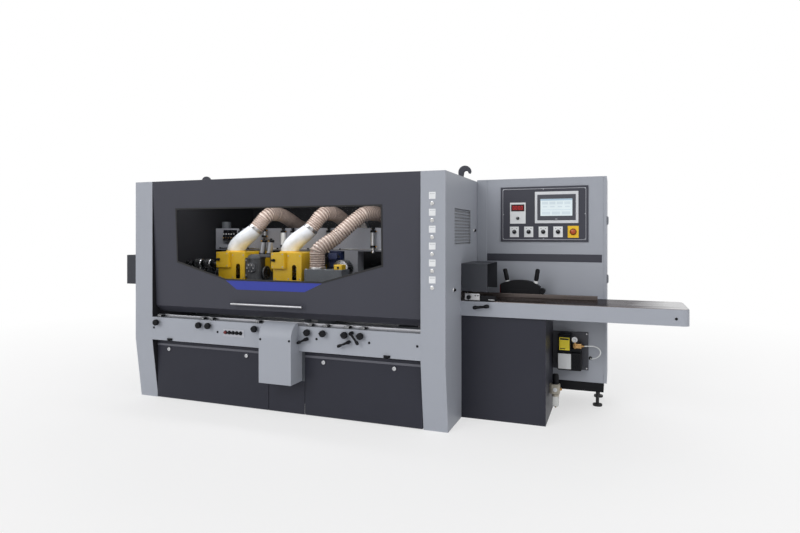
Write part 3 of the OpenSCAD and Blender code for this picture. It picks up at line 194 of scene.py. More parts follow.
def spread(tree, value, low, high, to_low, to_high):
    """A value's range stretched to another range."""
    made = shader_node(tree, "ShaderNodeMapRange")
    for key, number in (("From Min", low), ("From Max", high), ("To Min", to_low), ("To Max", to_high)):
        made.inputs[key].default_value = number
    tree.links.new(value, made.inputs["Value"])
    return made.outputs["Result"]


def sum_of(tree, kind, a, b):
    made = shader_node(tree, "ShaderNodeMath", operation=kind)
    for i, value in enumerate((a, b)):
        if isinstance(value, (int, float)):
            made.inputs[i].default_value = value
        else:
            tree.links.new(value, made.inputs[i])
    return made.outputs[0]


def blended(tree, share, a, b, kind="MIX"):
    made = shader_node(tree, "ShaderNodeMix", data_type="RGBA", blend_type=kind)
    for i, value in ((0, share), (6, a), (7, b)):
        if isinstance(value, (int, float, tuple)):
            made.inputs[i].default_value = value
        else:
            tree.links.new(value, made.inputs[i])
    return made.outputs[2]


def noise(tree, place, scale, detail=2.0, rough=0.5):
    made = shader_node(tree, "ShaderNodeTexNoise", Scale=scale, Detail=detail, Roughness=rough)
    tree.links.new(place, made.inputs["Vector"])
    return made.outputs[0]


def stretched(tree, place, scale):
    made = shader_node(tree, "ShaderNodeMapping")
    made.inputs["Scale"].default_value = scale
    tree.links.new(place, made.inputs["Vector"])
    return made.outputs["Vector"]


def seen_ray(tree):
    """One for the rays that show the background to the camera, also in metal and glass."""
    path = tree.nodes.new("ShaderNodeLightPath")
    seen = sum_of(tree, "MAXIMUM", path.outputs["Is Camera Ray"], path.outputs["Is Glossy Ray"])
    return sum_of(tree, "MAXIMUM", seen, path.outputs["Is Transmission Ray"])


def new_group(name, inputs, outputs):
    """An empty group with its inner input and output nodes."""
    tree = bpy.data.node_groups.new(name, "ShaderNodeTree")
    for label, kind, value in inputs:
        socket(tree, label, "INPUT", kind, value)
    for label, kind in outputs:
        socket(tree, label, "OUTPUT", kind)
    return tree, tree.nodes.new("NodeGroupInput"), tree.nodes.new("NodeGroupOutput")


FLOAT, RGBA = "NodeSocketFloat", "NodeSocketColor"


def coat_group():
    """Sprayed coat: soft tone drift, dust settled in streaks, and orange peel."""
    if "Coat Grain" in bpy.data.node_groups:
        return bpy.data.node_groups["Coat Grain"]
    tree, inner, outer = new_group(
        "Coat Grain",
        [("Color", RGBA, (0.5, 0.5, 0.5, 1)), ("Tone", FLOAT, 0.1), ("Gloss", FLOAT, 0.4),
         ("Peel", FLOAT, 500.0)],
        [("Color", RGBA), ("Roughness", FLOAT), ("Height", FLOAT)])
    place = tree.nodes.new("ShaderNodeTexCoord").outputs["Object"]
    drift = noise(tree, place, 2.3, 3.0, 0.55)
    streak = noise(tree, stretched(tree, place, (9.0, 9.0, 0.9)), 1.0, 4.0, 0.6)
    mottle = noise(tree, place, 24.0, 3.0, 0.6)
    mixed = sum_of(tree, "ADD", sum_of(tree, "MULTIPLY", drift, 0.56), sum_of(tree, "MULTIPLY", streak, 0.38))
    mixed = sum_of(tree, "ADD", mixed, sum_of(tree, "MULTIPLY", mottle, 0.06))
    swing = spread(tree, mixed, 0.3, 0.7, -1.0, 1.0)
    lift = sum_of(tree, "ADD", sum_of(tree, "MULTIPLY", swing, inner.outputs["Tone"]), 1.0)
    tint = blended(tree, 1.0, inner.outputs["Color"], lift, "MULTIPLY")
    rough = sum_of(tree, "ADD", inner.outputs["Gloss"], sum_of(tree, "MULTIPLY", swing, 0.05))
    peel = shader_node(tree, "ShaderNodeTexNoise", Detail=1.0)
    tree.links.new(place, peel.inputs["Vector"])
    tree.links.new(inner.outputs["Peel"], peel.inputs["Scale"])
    tree.links.new(tint, outer.inputs["Color"])
    tree.links.new(rough, outer.inputs["Roughness"])
    tree.links.new(peel.outputs[0], outer.inputs["Height"])
    return tree


def wear_group():
    """Paint rubbed through along the edges that a piece marks, broken up by noise."""
    if "Edge Wear" in bpy.data.node_groups:
        return bpy.data.node_groups["Edge Wear"]
    tree, inner, outer = new_group(
        "Edge Wear",
        [("Color", RGBA, (0.5, 0.5, 0.5, 1)), ("Worn", RGBA, (0.6, 0.6, 0.6, 1)),
         ("Edge", FLOAT, 0.0), ("Amount", FLOAT, 0.5)],
        [("Color", RGBA), ("Mask", FLOAT)])
    place = tree.nodes.new("ShaderNodeTexCoord").outputs["Object"]
    chips = spread(tree, noise(tree, place, 38.0, 4.0, 0.65), 0.42, 0.66, 0.0, 1.0)
    mask = sum_of(tree, "MULTIPLY", sum_of(tree, "MULTIPLY", inner.outputs["Edge"], chips),
                  inner.outputs["Amount"])
    tree.links.new(blended(tree, mask, inner.outputs["Color"], inner.outputs["Worn"]), outer.inputs["Color"])
    tree.links.new(mask, outer.inputs["Mask"])
    return tree


def grind_group():
    """Ground or brushed metal with fine lines along one way and faint stains."""
    if "Grind Lines" in bpy.data.node_groups:
        return bpy.data.node_groups["Grind Lines"]
    tree, inner, outer = new_group(
        "Grind Lines",
        [("Color", RGBA, (0.6, 0.6, 0.6, 1)), ("Stain", RGBA, (0.3, 0.25, 0.2, 1)), ("Stained", FLOAT, 0.2),
         ("Gloss", FLOAT, 0.3), ("Lines", "NodeSocketVector", (4.0, 300.0, 300.0))],
        [("Color", RGBA), ("Roughness", FLOAT), ("Height", FLOAT)])
    place = tree.nodes.new("ShaderNodeTexCoord").outputs["Object"]
    mapped = shader_node(tree, "ShaderNodeMapping")
    tree.links.new(place, mapped.inputs["Vector"])
    tree.links.new(inner.outputs["Lines"], mapped.inputs["Scale"])
    lines = noise(tree, mapped.outputs["Vector"], 1.0, 3.0, 0.6)
    blot = spread(tree, noise(tree, place, 6.0, 5.0, 0.6), 0.4, 0.75, 0.0, 1.0)
    share = sum_of(tree, "MULTIPLY", blot, inner.outputs["Stained"])
    tint = blended(tree, share, inner.outputs["Color"], inner.outputs["Stain"])
    shade = spread(tree, lines, 0.3, 0.7, 0.86, 1.08)
    rough = sum_of(tree, "ADD", inner.outputs["Gloss"], spread(tree, lines, 0.3, 0.7, -0.07, 0.09))
    rough = sum_of(tree, "ADD", rough, sum_of(tree, "MULTIPLY", share, 0.2))
    tree.links.new(blended(tree, 1.0, tint, shade, "MULTIPLY"), outer.inputs["Color"])
    tree.links.new(rough, outer.inputs["Roughness"])
    tree.links.new(lines, outer.inputs["Height"])
    return tree


def cast_group():
    """Sand cast skin under paint: pits and lumps with darker hollows."""
    if "Cast Skin" in bpy.data.node_groups:
        return bpy.data.node_groups["Cast Skin"]
    tree, inner, outer = new_group(
        "Cast Skin",
        [("Color", RGBA, (0.2, 0.2, 0.2, 1)), ("Gloss", FLOAT, 0.55), ("Grit", FLOAT, 160.0)],
        [("Color", RGBA), ("Roughness", FLOAT), ("Height", FLOAT)])
    place = tree.nodes.new("ShaderNodeTexCoord").outputs["Object"]
    grit = shader_node(tree, "ShaderNodeTexNoise", Detail=5.0, Roughness=0.65)
    tree.links.new(place, grit.inputs["Vector"])
    tree.links.new(inner.outputs["Grit"], grit.inputs["Scale"])
    grime = noise(tree, place, 9.0, 4.0, 0.6)
    pits = spread(tree, grit.outputs[0], 0.3, 0.7, 0.82, 1.1)
    shade = sum_of(tree, "MULTIPLY", pits, spread(tree, grime, 0.3, 0.7, 0.8, 1.12))
    rough = sum_of(tree, "ADD", inner.outputs["Gloss"], spread(tree, grime, 0.3, 0.7, -0.08, 0.1))
    tree.links.new(blended(tree, 1.0, inner.outputs["Color"], shade, "MULTIPLY"), outer.inputs["Color"])
    tree.links.new(rough, outer.inputs["Roughness"])
    tree.links.new(grit.outputs[0], outer.inputs["Height"])
    return tree


# Finishes

# The frame's plain materials are named like the slots, so the name of a finish gets this ending
FINISH_END = "_finish"


def bare_finish(name):
    """A new material with its tree and shader."""
    made = bpy.data.materials.new(name + FINISH_END)
    made.use_nodes = True
    tree = made.node_tree
    return made, tree, tree.nodes["Principled BSDF"]


def placed_group(tree, group, **values):
    made = tree.nodes.new("ShaderNodeGroup")
    made.node_tree = group
    for key, value in values.items():
        made.inputs[key].default_value = value
    return made


def relief(tree, shader, height, strength, depth):
    bump = shader_node(tree, "ShaderNodeBump", Strength=strength, Distance=depth)
    tree.links.new(height, bump.inputs["Height"])
    tree.links.new(bump.outputs["Normal"], shader.inputs["Normal"])


def coat(tree, shader, value, gloss, tone=0.07, peel=520.0, bump=0.12, wear=0.25, worn=(0.55, 0.56, 0.58, 1.0),
         **sockets):
    """Painted sheet or plastic: a sprayed coat whose marked edges are rubbed."""
    grain = placed_group(tree, coat_group(), Color=tuple(value), Tone=tone, Gloss=gloss, Peel=peel)
    rubbed = placed_group(tree, wear_group(), Worn=worn, Amount=wear)
    edge = shader_node(tree, "ShaderNodeAttribute", attribute_name="worn")
    tree.links.new(grain.outputs["Color"], rubbed.inputs["Color"])
    tree.links.new(edge.outputs["Fac"], rubbed.inputs["Edge"])
    tree.links.new(rubbed.outputs["Color"], shader.inputs["Base Color"])
    tree.links.new(grain.outputs["Roughness"], shader.inputs["Roughness"])
    relief(tree, shader, grain.outputs["Height"], bump, 0.0006)
    for key, number in sockets.items():
        shader.inputs[key.replace("_", " ")].default_value = number


def ground(tree, shader, value, gloss, lines=(4.0, 300.0, 300.0), stained=0.15, stain=(0.2, 0.16, 0.12, 1.0),
           bump=0.08):
    """Machined or brushed metal."""
    grain = placed_group(tree, grind_group(), Color=tuple(value), Stain=stain, Stained=stained, Gloss=gloss,
                         Lines=lines)
    tree.links.new(grain.outputs["Color"], shader.inputs["Base Color"])
    tree.links.new(grain.outputs["Roughness"], shader.inputs["Roughness"])
    relief(tree, shader, grain.outputs["Height"], bump, 0.0004)
    shader.inputs["Metallic"].default_value = 1.0


def oiled(tree, shader, value, bright):
    """Ground table top browned by oil, its colour lighter towards its free end as a painted reflection, with a
    clear coat there for real gloss.
    """
    grain = placed_group(tree, grind_group(), Color=tuple(value), Stain=(0.06, 0.04, 0.03, 1.0), Stained=0.35,
                         Gloss=0.17, Lines=(3.0, 240.0, 240.0))
    place = shader_node(tree, "ShaderNodeTexCoord").outputs["Object"]
    parts = shader_node(tree, "ShaderNodeSeparateXYZ")
    tree.links.new(place, parts.inputs["Vector"])
    wander = sum_of(tree, "MULTIPLY", noise(tree, stretched(tree, place, (1.5, 14.0, 1.0)), 1.0, 3.0), 0.3)
    # This mask towards the free end lightens the colour there as a painted reflection, and raises the clear
    # coat, which is real gloss.
    worn = spread(tree, sum_of(tree, "ADD", parts.outputs["X"], wander), 2.08, 2.32, 0.0, 1.0)
    tree.links.new(blended(tree, worn, grain.outputs["Color"], paint_value(*bright)),
                   shader.inputs["Base Color"])
    tree.links.new(grain.outputs["Roughness"], shader.inputs["Roughness"])
    relief(tree, shader, grain.outputs["Height"], 0.08, 0.0004)
    tree.links.new(worn, shader.inputs["Coat Weight"])
    shader.inputs["Coat Roughness"].default_value = 0.1
    shader.inputs["Specular Tint"].default_value = (0.24, 0.24, 0.26, 1.0)
    shader.inputs["Metallic"].default_value = 0.95


def casting(tree, shader, value, gloss=0.55):
    """Painted casting."""
    grain = placed_group(tree, cast_group(), Color=tuple(value), Gloss=gloss)
    tree.links.new(grain.outputs["Color"], shader.inputs["Base Color"])
    tree.links.new(grain.outputs["Roughness"], shader.inputs["Roughness"])
    relief(tree, shader, grain.outputs["Height"], 0.3, 0.001)


def glowing(tree, shader, value):
    """A lit display behind a smooth dark front."""
    place = shader_node(tree, "ShaderNodeTexCoord").outputs["Object"]
    patch = spread(tree, noise(tree, place, 7.0, 2.0), 0.3, 0.7, 0.94, 1.0)
    lit = blended(tree, 1.0, tuple(value), patch, "MULTIPLY")
    tree.links.new(lit, shader.inputs["Emission Color"])
    shader.inputs["Base Color"].default_value = (0.01, 0.01, 0.012, 1.0)
    shader.inputs["Emission Strength"].default_value = 1.0
    shader.inputs["Roughness"].default_value = 0.25
    shader.inputs["Specular IOR Level"].default_value = 0.2


def see_through(tree, shader, value, share, gloss, rib_share=None, rib_value=None, shine=0.5):
    """Clear plastic: light passes the wall, and the ribs that a piece marks are denser."""
    place = shader_node(tree, "ShaderNodeTexCoord").outputs["Object"]
    haze = noise(tree, place, 14.0, 3.0)
    wall = spread(tree, haze, 0.3, 0.7, share * 0.9, share * 1.1)
    tint = blended(tree, 1.0, tuple(value), spread(tree, haze, 0.3, 0.7, 0.94, 1.04), "MULTIPLY")
    if rib_share is not None:
        rib = shader_node(tree, "ShaderNodeAttribute", attribute_name="rib").outputs["Fac"]
        wall = sum_of(tree, "ADD", wall, sum_of(tree, "MULTIPLY", rib, rib_share - share))
        tint = blended(tree, rib, tint, paint_value(*rib_value))
    tree.links.new(tint, shader.inputs["Base Color"])
    tree.links.new(wall, shader.inputs["Alpha"])
    tree.links.new(spread(tree, haze, 0.3, 0.7, gloss, gloss + 0.06), shader.inputs["Roughness"])
    shader.inputs["Specular IOR Level"].default_value = shine


GREY_CHIPS, DARK_CHIPS = (0.13, 0.13, 0.15, 1), (0.1, 0.1, 0.12, 1)
ALONG_X, ALONG_Z = (2.0, 400.0, 400.0), (20.0, 20.0, 400.0)
MOULDED = dict(peel=900.0, bump=0.06, wear=0.0)
PRINTED = dict(wear=0.0, bump=0.05)

# Each finish: how it is made, its colour by name or as it shows on a screen, and its settings
FINISHES = {
    "light_paint": (coat, "light", dict(gloss=0.45, tone=0.02, Specular_IOR_Level=0.3)),
    "hood_paint": (coat, "hood",
                   dict(gloss=0.42, tone=0.035, wear=0.5, worn=GREY_CHIPS, Specular_IOR_Level=0.22)),
    "panel_paint": (coat, "panel",
                    dict(gloss=0.4, tone=0.04, wear=0.5, worn=DARK_CHIPS, Specular_IOR_Level=0.18)),
    "guard_paint": (coat, "guard",
                    dict(gloss=0.48, tone=0.04, wear=0.5, worn=GREY_CHIPS, Specular_IOR_Level=0.2)),
    # Near-black paint on faces inside the bay and in seams: painted shade.
    "inner_paint": (coat, (36, 36, 40), dict(gloss=0.6, tone=0.06, wear=0.0, Specular_IOR_Level=0.2)),
    # The beam's light grey made darker than the light paint: painted shade of the bay.
    "beam_paint": (coat, (142, 144, 152), dict(gloss=0.45, tone=0.05, wear=0.4, Specular_IOR_Level=0.3)),
    # Darker grey of the band on the rail top's front: painted shade under the hood's lip.
    "track_grey": (coat, (98, 100, 106), dict(gloss=0.5, tone=0.06, wear=0.0, Specular_IOR_Level=0.3)),
    # Lighter copy of the panel paint for the panels' top ribs: painted highlight.
    "lip_paint": (coat, (86, 87, 96), dict(gloss=0.4, tone=0.04, wear=0.5, worn=GREY_CHIPS)),
    "plate_paint": (coat, (54, 56, 65), dict(gloss=0.42, tone=0.05, wear=0.4, worn=DARK_CHIPS)),
    "band_blue": (coat, "band", dict(gloss=0.3, tone=0.03, wear=0.0, bump=0.04)),
    "hood_yellow": (coat, "chip_hood", dict(gloss=0.36, tone=0.05, wear=0.6, worn=(0.36, 0.27, 0.07, 1))),
    "motor_navy": (coat, "motor", dict(gloss=0.4, tone=0.12, wear=0.3, worn=(0.1, 0.13, 0.2, 1))),
    "filter_mat": (coat, (150, 152, 158), dict(gloss=0.8, tone=0.12, peel=260.0, bump=0.5, wear=0.0)),
    "plate_yellow": (coat, (236, 190, 22), dict(gloss=0.3, tone=0.04, **PRINTED)),
    # Lemon yellow of the pump label, its own hue, painted lighter than it is to make up for the table's shade
    # on it.
    "lemon_label": (coat, (250, 228, 34), dict(gloss=0.3, tone=0.04, **PRINTED)),
    "white_plate": (coat, (226, 228, 230), dict(gloss=0.34, tone=0.04, **PRINTED)),
    "silver_plate": (coat, (196, 198, 202), dict(gloss=0.34, tone=0.05, Metallic=0.35, **PRINTED)),
    "keypad_grey": (coat, (172, 174, 182), dict(gloss=0.36, tone=0.05, Metallic=0.15, **PRINTED)),
    "bezel_grey": (coat, (58, 60, 70), dict(gloss=0.35, tone=0.03, wear=0.0)),
    "lamp_lens": (coat, (206, 206, 204), dict(gloss=0.15, tone=0.03, wear=0.0, bump=0.02)),
    "black_plastic": (coat, (17, 18, 22), dict(gloss=0.42, tone=0.16, peel=900.0, bump=0.2, wear=0.3,
                                               worn=(0.012, 0.012, 0.013, 1), Specular_IOR_Level=0.14)),
    "black_rubber": (coat, (24, 24, 26), dict(gloss=0.72, tone=0.2, peel=1200.0, bump=0.3, wear=0.2,
                                              worn=(0.06, 0.06, 0.06, 1))),
    "red_plastic": (coat, (104, 18, 22), dict(gloss=0.28, tone=0.05, **MOULDED)),
    "stop_orange": (coat, (176, 74, 14), dict(gloss=0.3, tone=0.05, **MOULDED)),
    "beige_plastic": (coat, (178, 172, 158), dict(gloss=0.45, tone=0.08, wear=0.2)),
    "cast_grey": (casting, "casting", {}),
    "bed_casting": (casting, (88, 92, 98), {}),
    "dark_casting": (casting, (62, 64, 68), dict(gloss=0.5)),
    # The table's lighter end colour is a painted reflection.
    "table_steel": (oiled, (124, 114, 110), dict(bright=(152, 149, 150))),
    "ground_steel": (ground, (190, 190, 192), dict(gloss=0.3)),
    "fence_steel": (ground, (106, 99, 96), dict(gloss=0.3, lines=(3.0, 240.0, 240.0), stained=0.3,
                                                stain=(0.1, 0.085, 0.08, 1.0))),
    "handle_steel": (ground, (168, 168, 172), dict(gloss=0.34, lines=ALONG_X, stained=0.05)),
    "frame_line": (ground, (150, 152, 158), dict(gloss=0.4, lines=ALONG_X, stained=0.05)),
    "brushed_strip": (ground, (172, 173, 178), dict(gloss=0.36, lines=(2.0, 500.0, 500.0), stained=0.05)),
    "barrel_silver": (ground, (196, 197, 200), dict(gloss=0.36, lines=ALONG_Z, stained=0.05)),
    "barrel_grey": (ground, (150, 151, 155), dict(gloss=0.4, lines=ALONG_Z, stained=0.05)),
    "turned_steel": (ground, (206, 207, 210),
                     dict(gloss=0.26, lines=(90.0, 12.0, 90.0), stained=0.05, bump=0.02)),
    "chrome": (ground, (228, 228, 230), dict(gloss=0.1, lines=(60.0, 60.0, 60.0), stained=0.05, bump=0.02)),
    "brass": (ground, (180, 144, 96), dict(gloss=0.26, lines=(200.0, 200.0, 20.0), stained=0.2,
                                           stain=(0.25, 0.12, 0.03, 1.0))),
    "display_red": (glowing, (72, 8, 12), {}),
    "digit_red": (glowing, (226, 44, 40), {}),
    "screen_white": (glowing, (224, 236, 240), {}),
    "screen_tile": (glowing, (208, 221, 228), {}),
    "screen_bar": (glowing, (172, 196, 214), {}),
    "pane": (see_through, (34, 38, 40), dict(share=0.04, gloss=0.02, shine=0.1)),
    "hose_wall": (see_through, "hose", dict(share=0.6, gloss=0.14, rib_share=0.84, rib_value=(204, 188, 178))),
    "duct_milk": (see_through, "duct", dict(share=0.84, gloss=0.2)),
    "clear_bowl": (see_through, (222, 226, 222), dict(share=0.4, gloss=0.08)),
    "oil_tube": (see_through, (240, 243, 243), dict(share=0.86, gloss=0.12)),
}


def finish(name):
    """The machine's finish of that name, made the first time that a piece asks for it."""
    made = bpy.data.materials.get(name + FINISH_END)
    if made is None:
        made, tree, shader = bare_finish(name)
        maker, value, settings = FINISHES[name]
        value = getattr(colours(), value) if isinstance(value, str) else paint_value(*value)
        maker(tree, shader, value, **settings)
    return made


# Profiles of small hardware, as radius and height in millimetres
SOCKET_SCREW = [(0, 0), (5, 0), (5, 2), (4, 3), (2.4, 3), (2.4, 1), (0, 1)]
PAN_SCREW = [(0, 0), (5, 0), (5, 2), (4, 3), (0, 3)]
HEX_SCREW = [(0, 0), (6, 0), (6, 3), (4.5, 4.5), (0, 4.5)]


# Shapes

def placed(name, data):
    """A new object in the scene."""
    obj = bpy.data.objects.new(name, data)
    bpy.context.scene.collection.objects.link(obj)
    return obj


def basis(axis):
    """A turn whose Z lies along axis."""
    return Vector(axis).to_track_quat("Z", "Y").to_matrix()


def join(bm, part, index=0):
    """Adds a finished part to bm with its faces outwards and its finish's place."""
    bmesh.ops.remove_doubles(part, verts=part.verts, dist=MERGE)
    bmesh.ops.recalc_face_normals(part, faces=part.faces)
    for f in part.faces:
        f.material_index = index
    mesh = bpy.data.meshes.new("part")
    part.to_mesh(mesh)
    part.free()
    bm.from_mesh(mesh)
    bpy.data.meshes.remove(mesh)


def round_edges(part, edges, width, steps=2):
    """Rounds edges, and gives the faces that this makes."""
    if width <= 0 or not edges:
        return []
    return bmesh.ops.bevel(part, geom=edges, offset=width, offset_type="OFFSET", segments=steps, profile=0.5,
                           affect="EDGES", material=-1, clamp_overlap=True)["faces"]


def block(bm, low, high, edge=0.0, index=0, steps=2, turn=None):
    """A box between two places in millimetres with rounded edges, turned about its middle."""
    part = bmesh.new()
    a, b = at(*low), at(*high)
    size = b - a
    bmesh.ops.create_cube(part, size=1.0, matrix=Matrix.Diagonal((*size, 1.0)))
    round_edges(part, list(part.edges), edge * MM, steps)
    spot = Matrix.Translation((a + b) / 2)
    if turn is not None:
        spot = spot @ turn
    bmesh.ops.transform(part, matrix=spot, verts=part.verts)
    join(bm, part, index)


def turned(bm, profile, centre, axis, index=0, steps=32, flutes=0, flute_depth=0.0, flute_span=None):
    """A lathe shape: profile of radius and height in millimetres, spun about axis from a place in metres."""
    part = bmesh.new()
    chain = [part.verts.new((r * MM, 0.0, h * MM)) for r, h in profile]
    edges = [part.edges.new(pair) for pair in zip(chain, chain[1:])]
    bmesh.ops.spin(part, geom=chain + edges, cent=(0, 0, 0), axis=(0, 0, 1), dvec=(0, 0, 0),
                   angle=2 * math.pi, steps=steps, use_merge=True, use_duplicate=False)
    bmesh.ops.remove_doubles(part, verts=part.verts, dist=MERGE)
    if flutes:
        low, high = flute_span
        for v in part.verts:
            if low * MM <= v.co.z <= high * MM:
                angle = math.atan2(v.co.y, v.co.x)
                dip = 1.0 - flute_depth * max(0.0, math.cos(flutes * angle)) ** 2
                v.co.x *= dip
                v.co.y *= dip
    bmesh.ops.transform(part, matrix=Matrix.Translation(centre) @ basis(axis).to_4x4(), verts=part.verts)
    join(bm, part, index)


def rod(bm, start, end, radius, index=0, sides=24, edge=0.0):
    """A round bar between two places in metres."""
    reach = (end - start).length / MM
    e = min(edge, radius * 0.9, reach / 2)
    if e:
        profile = [(0, 0), (radius - e, 0), (radius, e), (radius, reach - e), (radius - e, reach), (0, reach)]
    else:
        profile = [(0, 0), (radius, 0), (radius, reach), (0, reach)]
    turned(bm, profile, start, end - start, index, sides)


def lifted(part, faces, step):
    """Pulls faces out of a part by a step, and gives the vertices of their far side."""
    made = bmesh.ops.extrude_face_region(part, geom=faces)
    verts = [v for v in made["geom"] if isinstance(v, bmesh.types.BMVert)]
    bmesh.ops.translate(part, vec=step, verts=verts)
    return verts


def slab(part, places, step):
    """A flat shape with its corners at places in metres, made thick by a step."""
    return lifted(part, [part.faces.new([part.verts.new(p) for p in places])], step)


def strips(low, high, width):
    """The corners of the four strips that frame a flat field."""
    (a0, b0), (a1, b1) = low, high
    return [((a0, b0), (a1, b0 + width)), ((a0, b1 - width), (a1, b1)),
            ((a0, b0), (a0 + width, b1)), ((a1 - width, b0), (a1, b1))]


def tube(bm, places, radii, sides, marks=None):
    """An open tube through places in metres with a radius at each, ring by ring."""
    part = bmesh.new()
    layer = part.verts.layers.float.new("rib")
    rings = []
    count = len(places)
    side = None
    for i, p in enumerate(places):
        way = (places[min(i + 1, count - 1)] - places[max(i - 1, 0)]).normalized()
        if side is None:
            side = X_WAY if abs(way.x) < 0.9 else Y_WAY
        side = (side - way * side.dot(way)).normalized()
        turn = Matrix((side, way.cross(side), way)).transposed().to_4x4()
        spot = Matrix.Translation(p) @ turn
        ring = bmesh.ops.create_circle(part, segments=sides, radius=radii[i] * MM, matrix=spot)["verts"]
        for v in ring:
            v[layer] = marks[i] if marks else 0.0
        rings.append(list({e for v in ring for e in v.link_edges}))
    for a, b in zip(rings, rings[1:]):
        bmesh.ops.bridge_loops(part, edges=a + b)
    bm.verts.layers.float.new("rib")
    join(bm, part)


def walled(obj, thickness):
    """Gives a tube's skin a thickness in millimetres, inwards."""
    wall = obj.modifiers.new("wall", "SOLIDIFY")
    wall.thickness = thickness * MM
    wall.offset = -1.0


def piece(name, bm, finishes, body, replaced=(), sharp=35.0, weighted=True):
    """Makes bm an object that rides on a body, and takes the place of CAD nodes where it stands for them."""
    mesh = bpy.data.meshes.new(name)
    bm.to_mesh(mesh)
    bm.free()
    for f in finishes:
        mesh.materials.append(finish(f))
    mesh.shade_smooth()
    mesh.set_sharp_from_angle(angle=math.radians(sharp))
    obj = placed(name, mesh)
    if weighted:
        even = obj.modifiers.new("even_normals", "WEIGHTED_NORMAL")
        even.keep_sharp = True
    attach(obj, body)
    if replaced:
        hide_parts(*replaced)
    return obj


def inside(co, low, high):
    return all(a - TOUCH <= v <= b + TOUCH for v, a, b in zip(co, low, high))


def cad_copy(node, edge, keep=None, drops=(), steps=2, cut=None):
    """A closed copy of a CAD node, or of the part of it inside keep, outside drops or behind a cut along Y."""
    bm = bmesh.new()
    bm.from_mesh(NODES[node].data)
    for span, wanted in [(keep, True)] * (keep is not None) + [(d, False) for d in drops]:
        low, high = at(*span[0]), at(*span[1])
        gone = [f for f in bm.faces if all(inside(v.co, low, high) for v in f.verts) != wanted]
        bmesh.ops.delete(bm, geom=gone, context="FACES")
    bmesh.ops.remove_doubles(bm, verts=bm.verts, dist=WELD)
    bmesh.ops.holes_fill(bm, edges=[e for e in bm.edges if e.is_boundary], sides=0)
    if cut is not None:
        bmesh.ops.bisect_plane(bm, geom=bm.verts[:] + bm.edges[:] + bm.faces[:], dist=MERGE,
                               plane_co=at(0, cut, 0), plane_no=FRONT, clear_outer=True)
        rims = [e for e in bm.edges if e.is_boundary]
        bmesh.ops.triangle_fill(bm, edges=rims, use_beauty=True, normal=FRONT)
    bmesh.ops.dissolve_limit(bm, angle_limit=FLAT_ANGLE, verts=bm.verts, edges=bm.edges)
    layer = bm.faces.layers.float.new("worn")
    sharp = [e for e in bm.edges if e.is_manifold and e.calc_face_angle(0.0) > EDGE_ANGLE]
    for f in round_edges(bm, sharp, edge, steps):
        f[layer] = 1.0
    return bm


def dress(node, finish_name, edge, keep=None, name=None, steps=2):
    """The CAD node's own shape with rounded edges and a finish, in the node's place."""
    body = NODES[node]["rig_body"]
    bm = cad_copy(node, edge, keep, steps=steps)
    return piece(name or node + "_finish", bm, [finish_name], body, (node,))


def darken(bm, test):
    """Gives the second finish, the dark paint of painted shade, to the faces whose middle in millimetres and
    normal pass a test.
    """
    bm.normal_update()
    for f in bm.faces:
        if test((f.calc_center_median() - CORNER) / MM, f.normal):
            f.material_index = 1


def paint_node(node, finish_name):
    """A CAD node whose shape stays gets a finish."""
    mesh = NODES[node].data
    mesh.materials.clear()
    mesh.materials.append(finish(finish_name))


# Curves of the hoses and ducts, as the CAD routes run

def cubic(p, m, q, n, s):
    return ((2 * s ** 3 - 3 * s ** 2 + 1) * p + (s ** 3 - 2 * s ** 2 + s) * m
            + (3 * s ** 2 - 2 * s ** 3) * q + (s ** 3 - s ** 2) * n)


def route(knots, per_rib):
    """Places along knots of place, slope before, slope after and ribs, with a count of rings for each rib."""
    places = []
    for a, b in zip(knots, knots[1:]):
        rings = a[3] * per_rib
        for k in range(rings):
            places.append(cubic(a[0], a[2], b[0], b[1], k / rings))
    places.append(knots[-1][0])
    return places


# Each sun: its turn and its spread in degrees, and its strength
SUNS = {
    "key_sun": ((64.0, 0.0, -24.0), 38.0, 1.2),
    "side_sun": ((58.0, 0.0, 62.0), 55.0, 0.5),
    "back_sun": ((50.0, 0.0, 190.0), 60.0, 0.45),
}


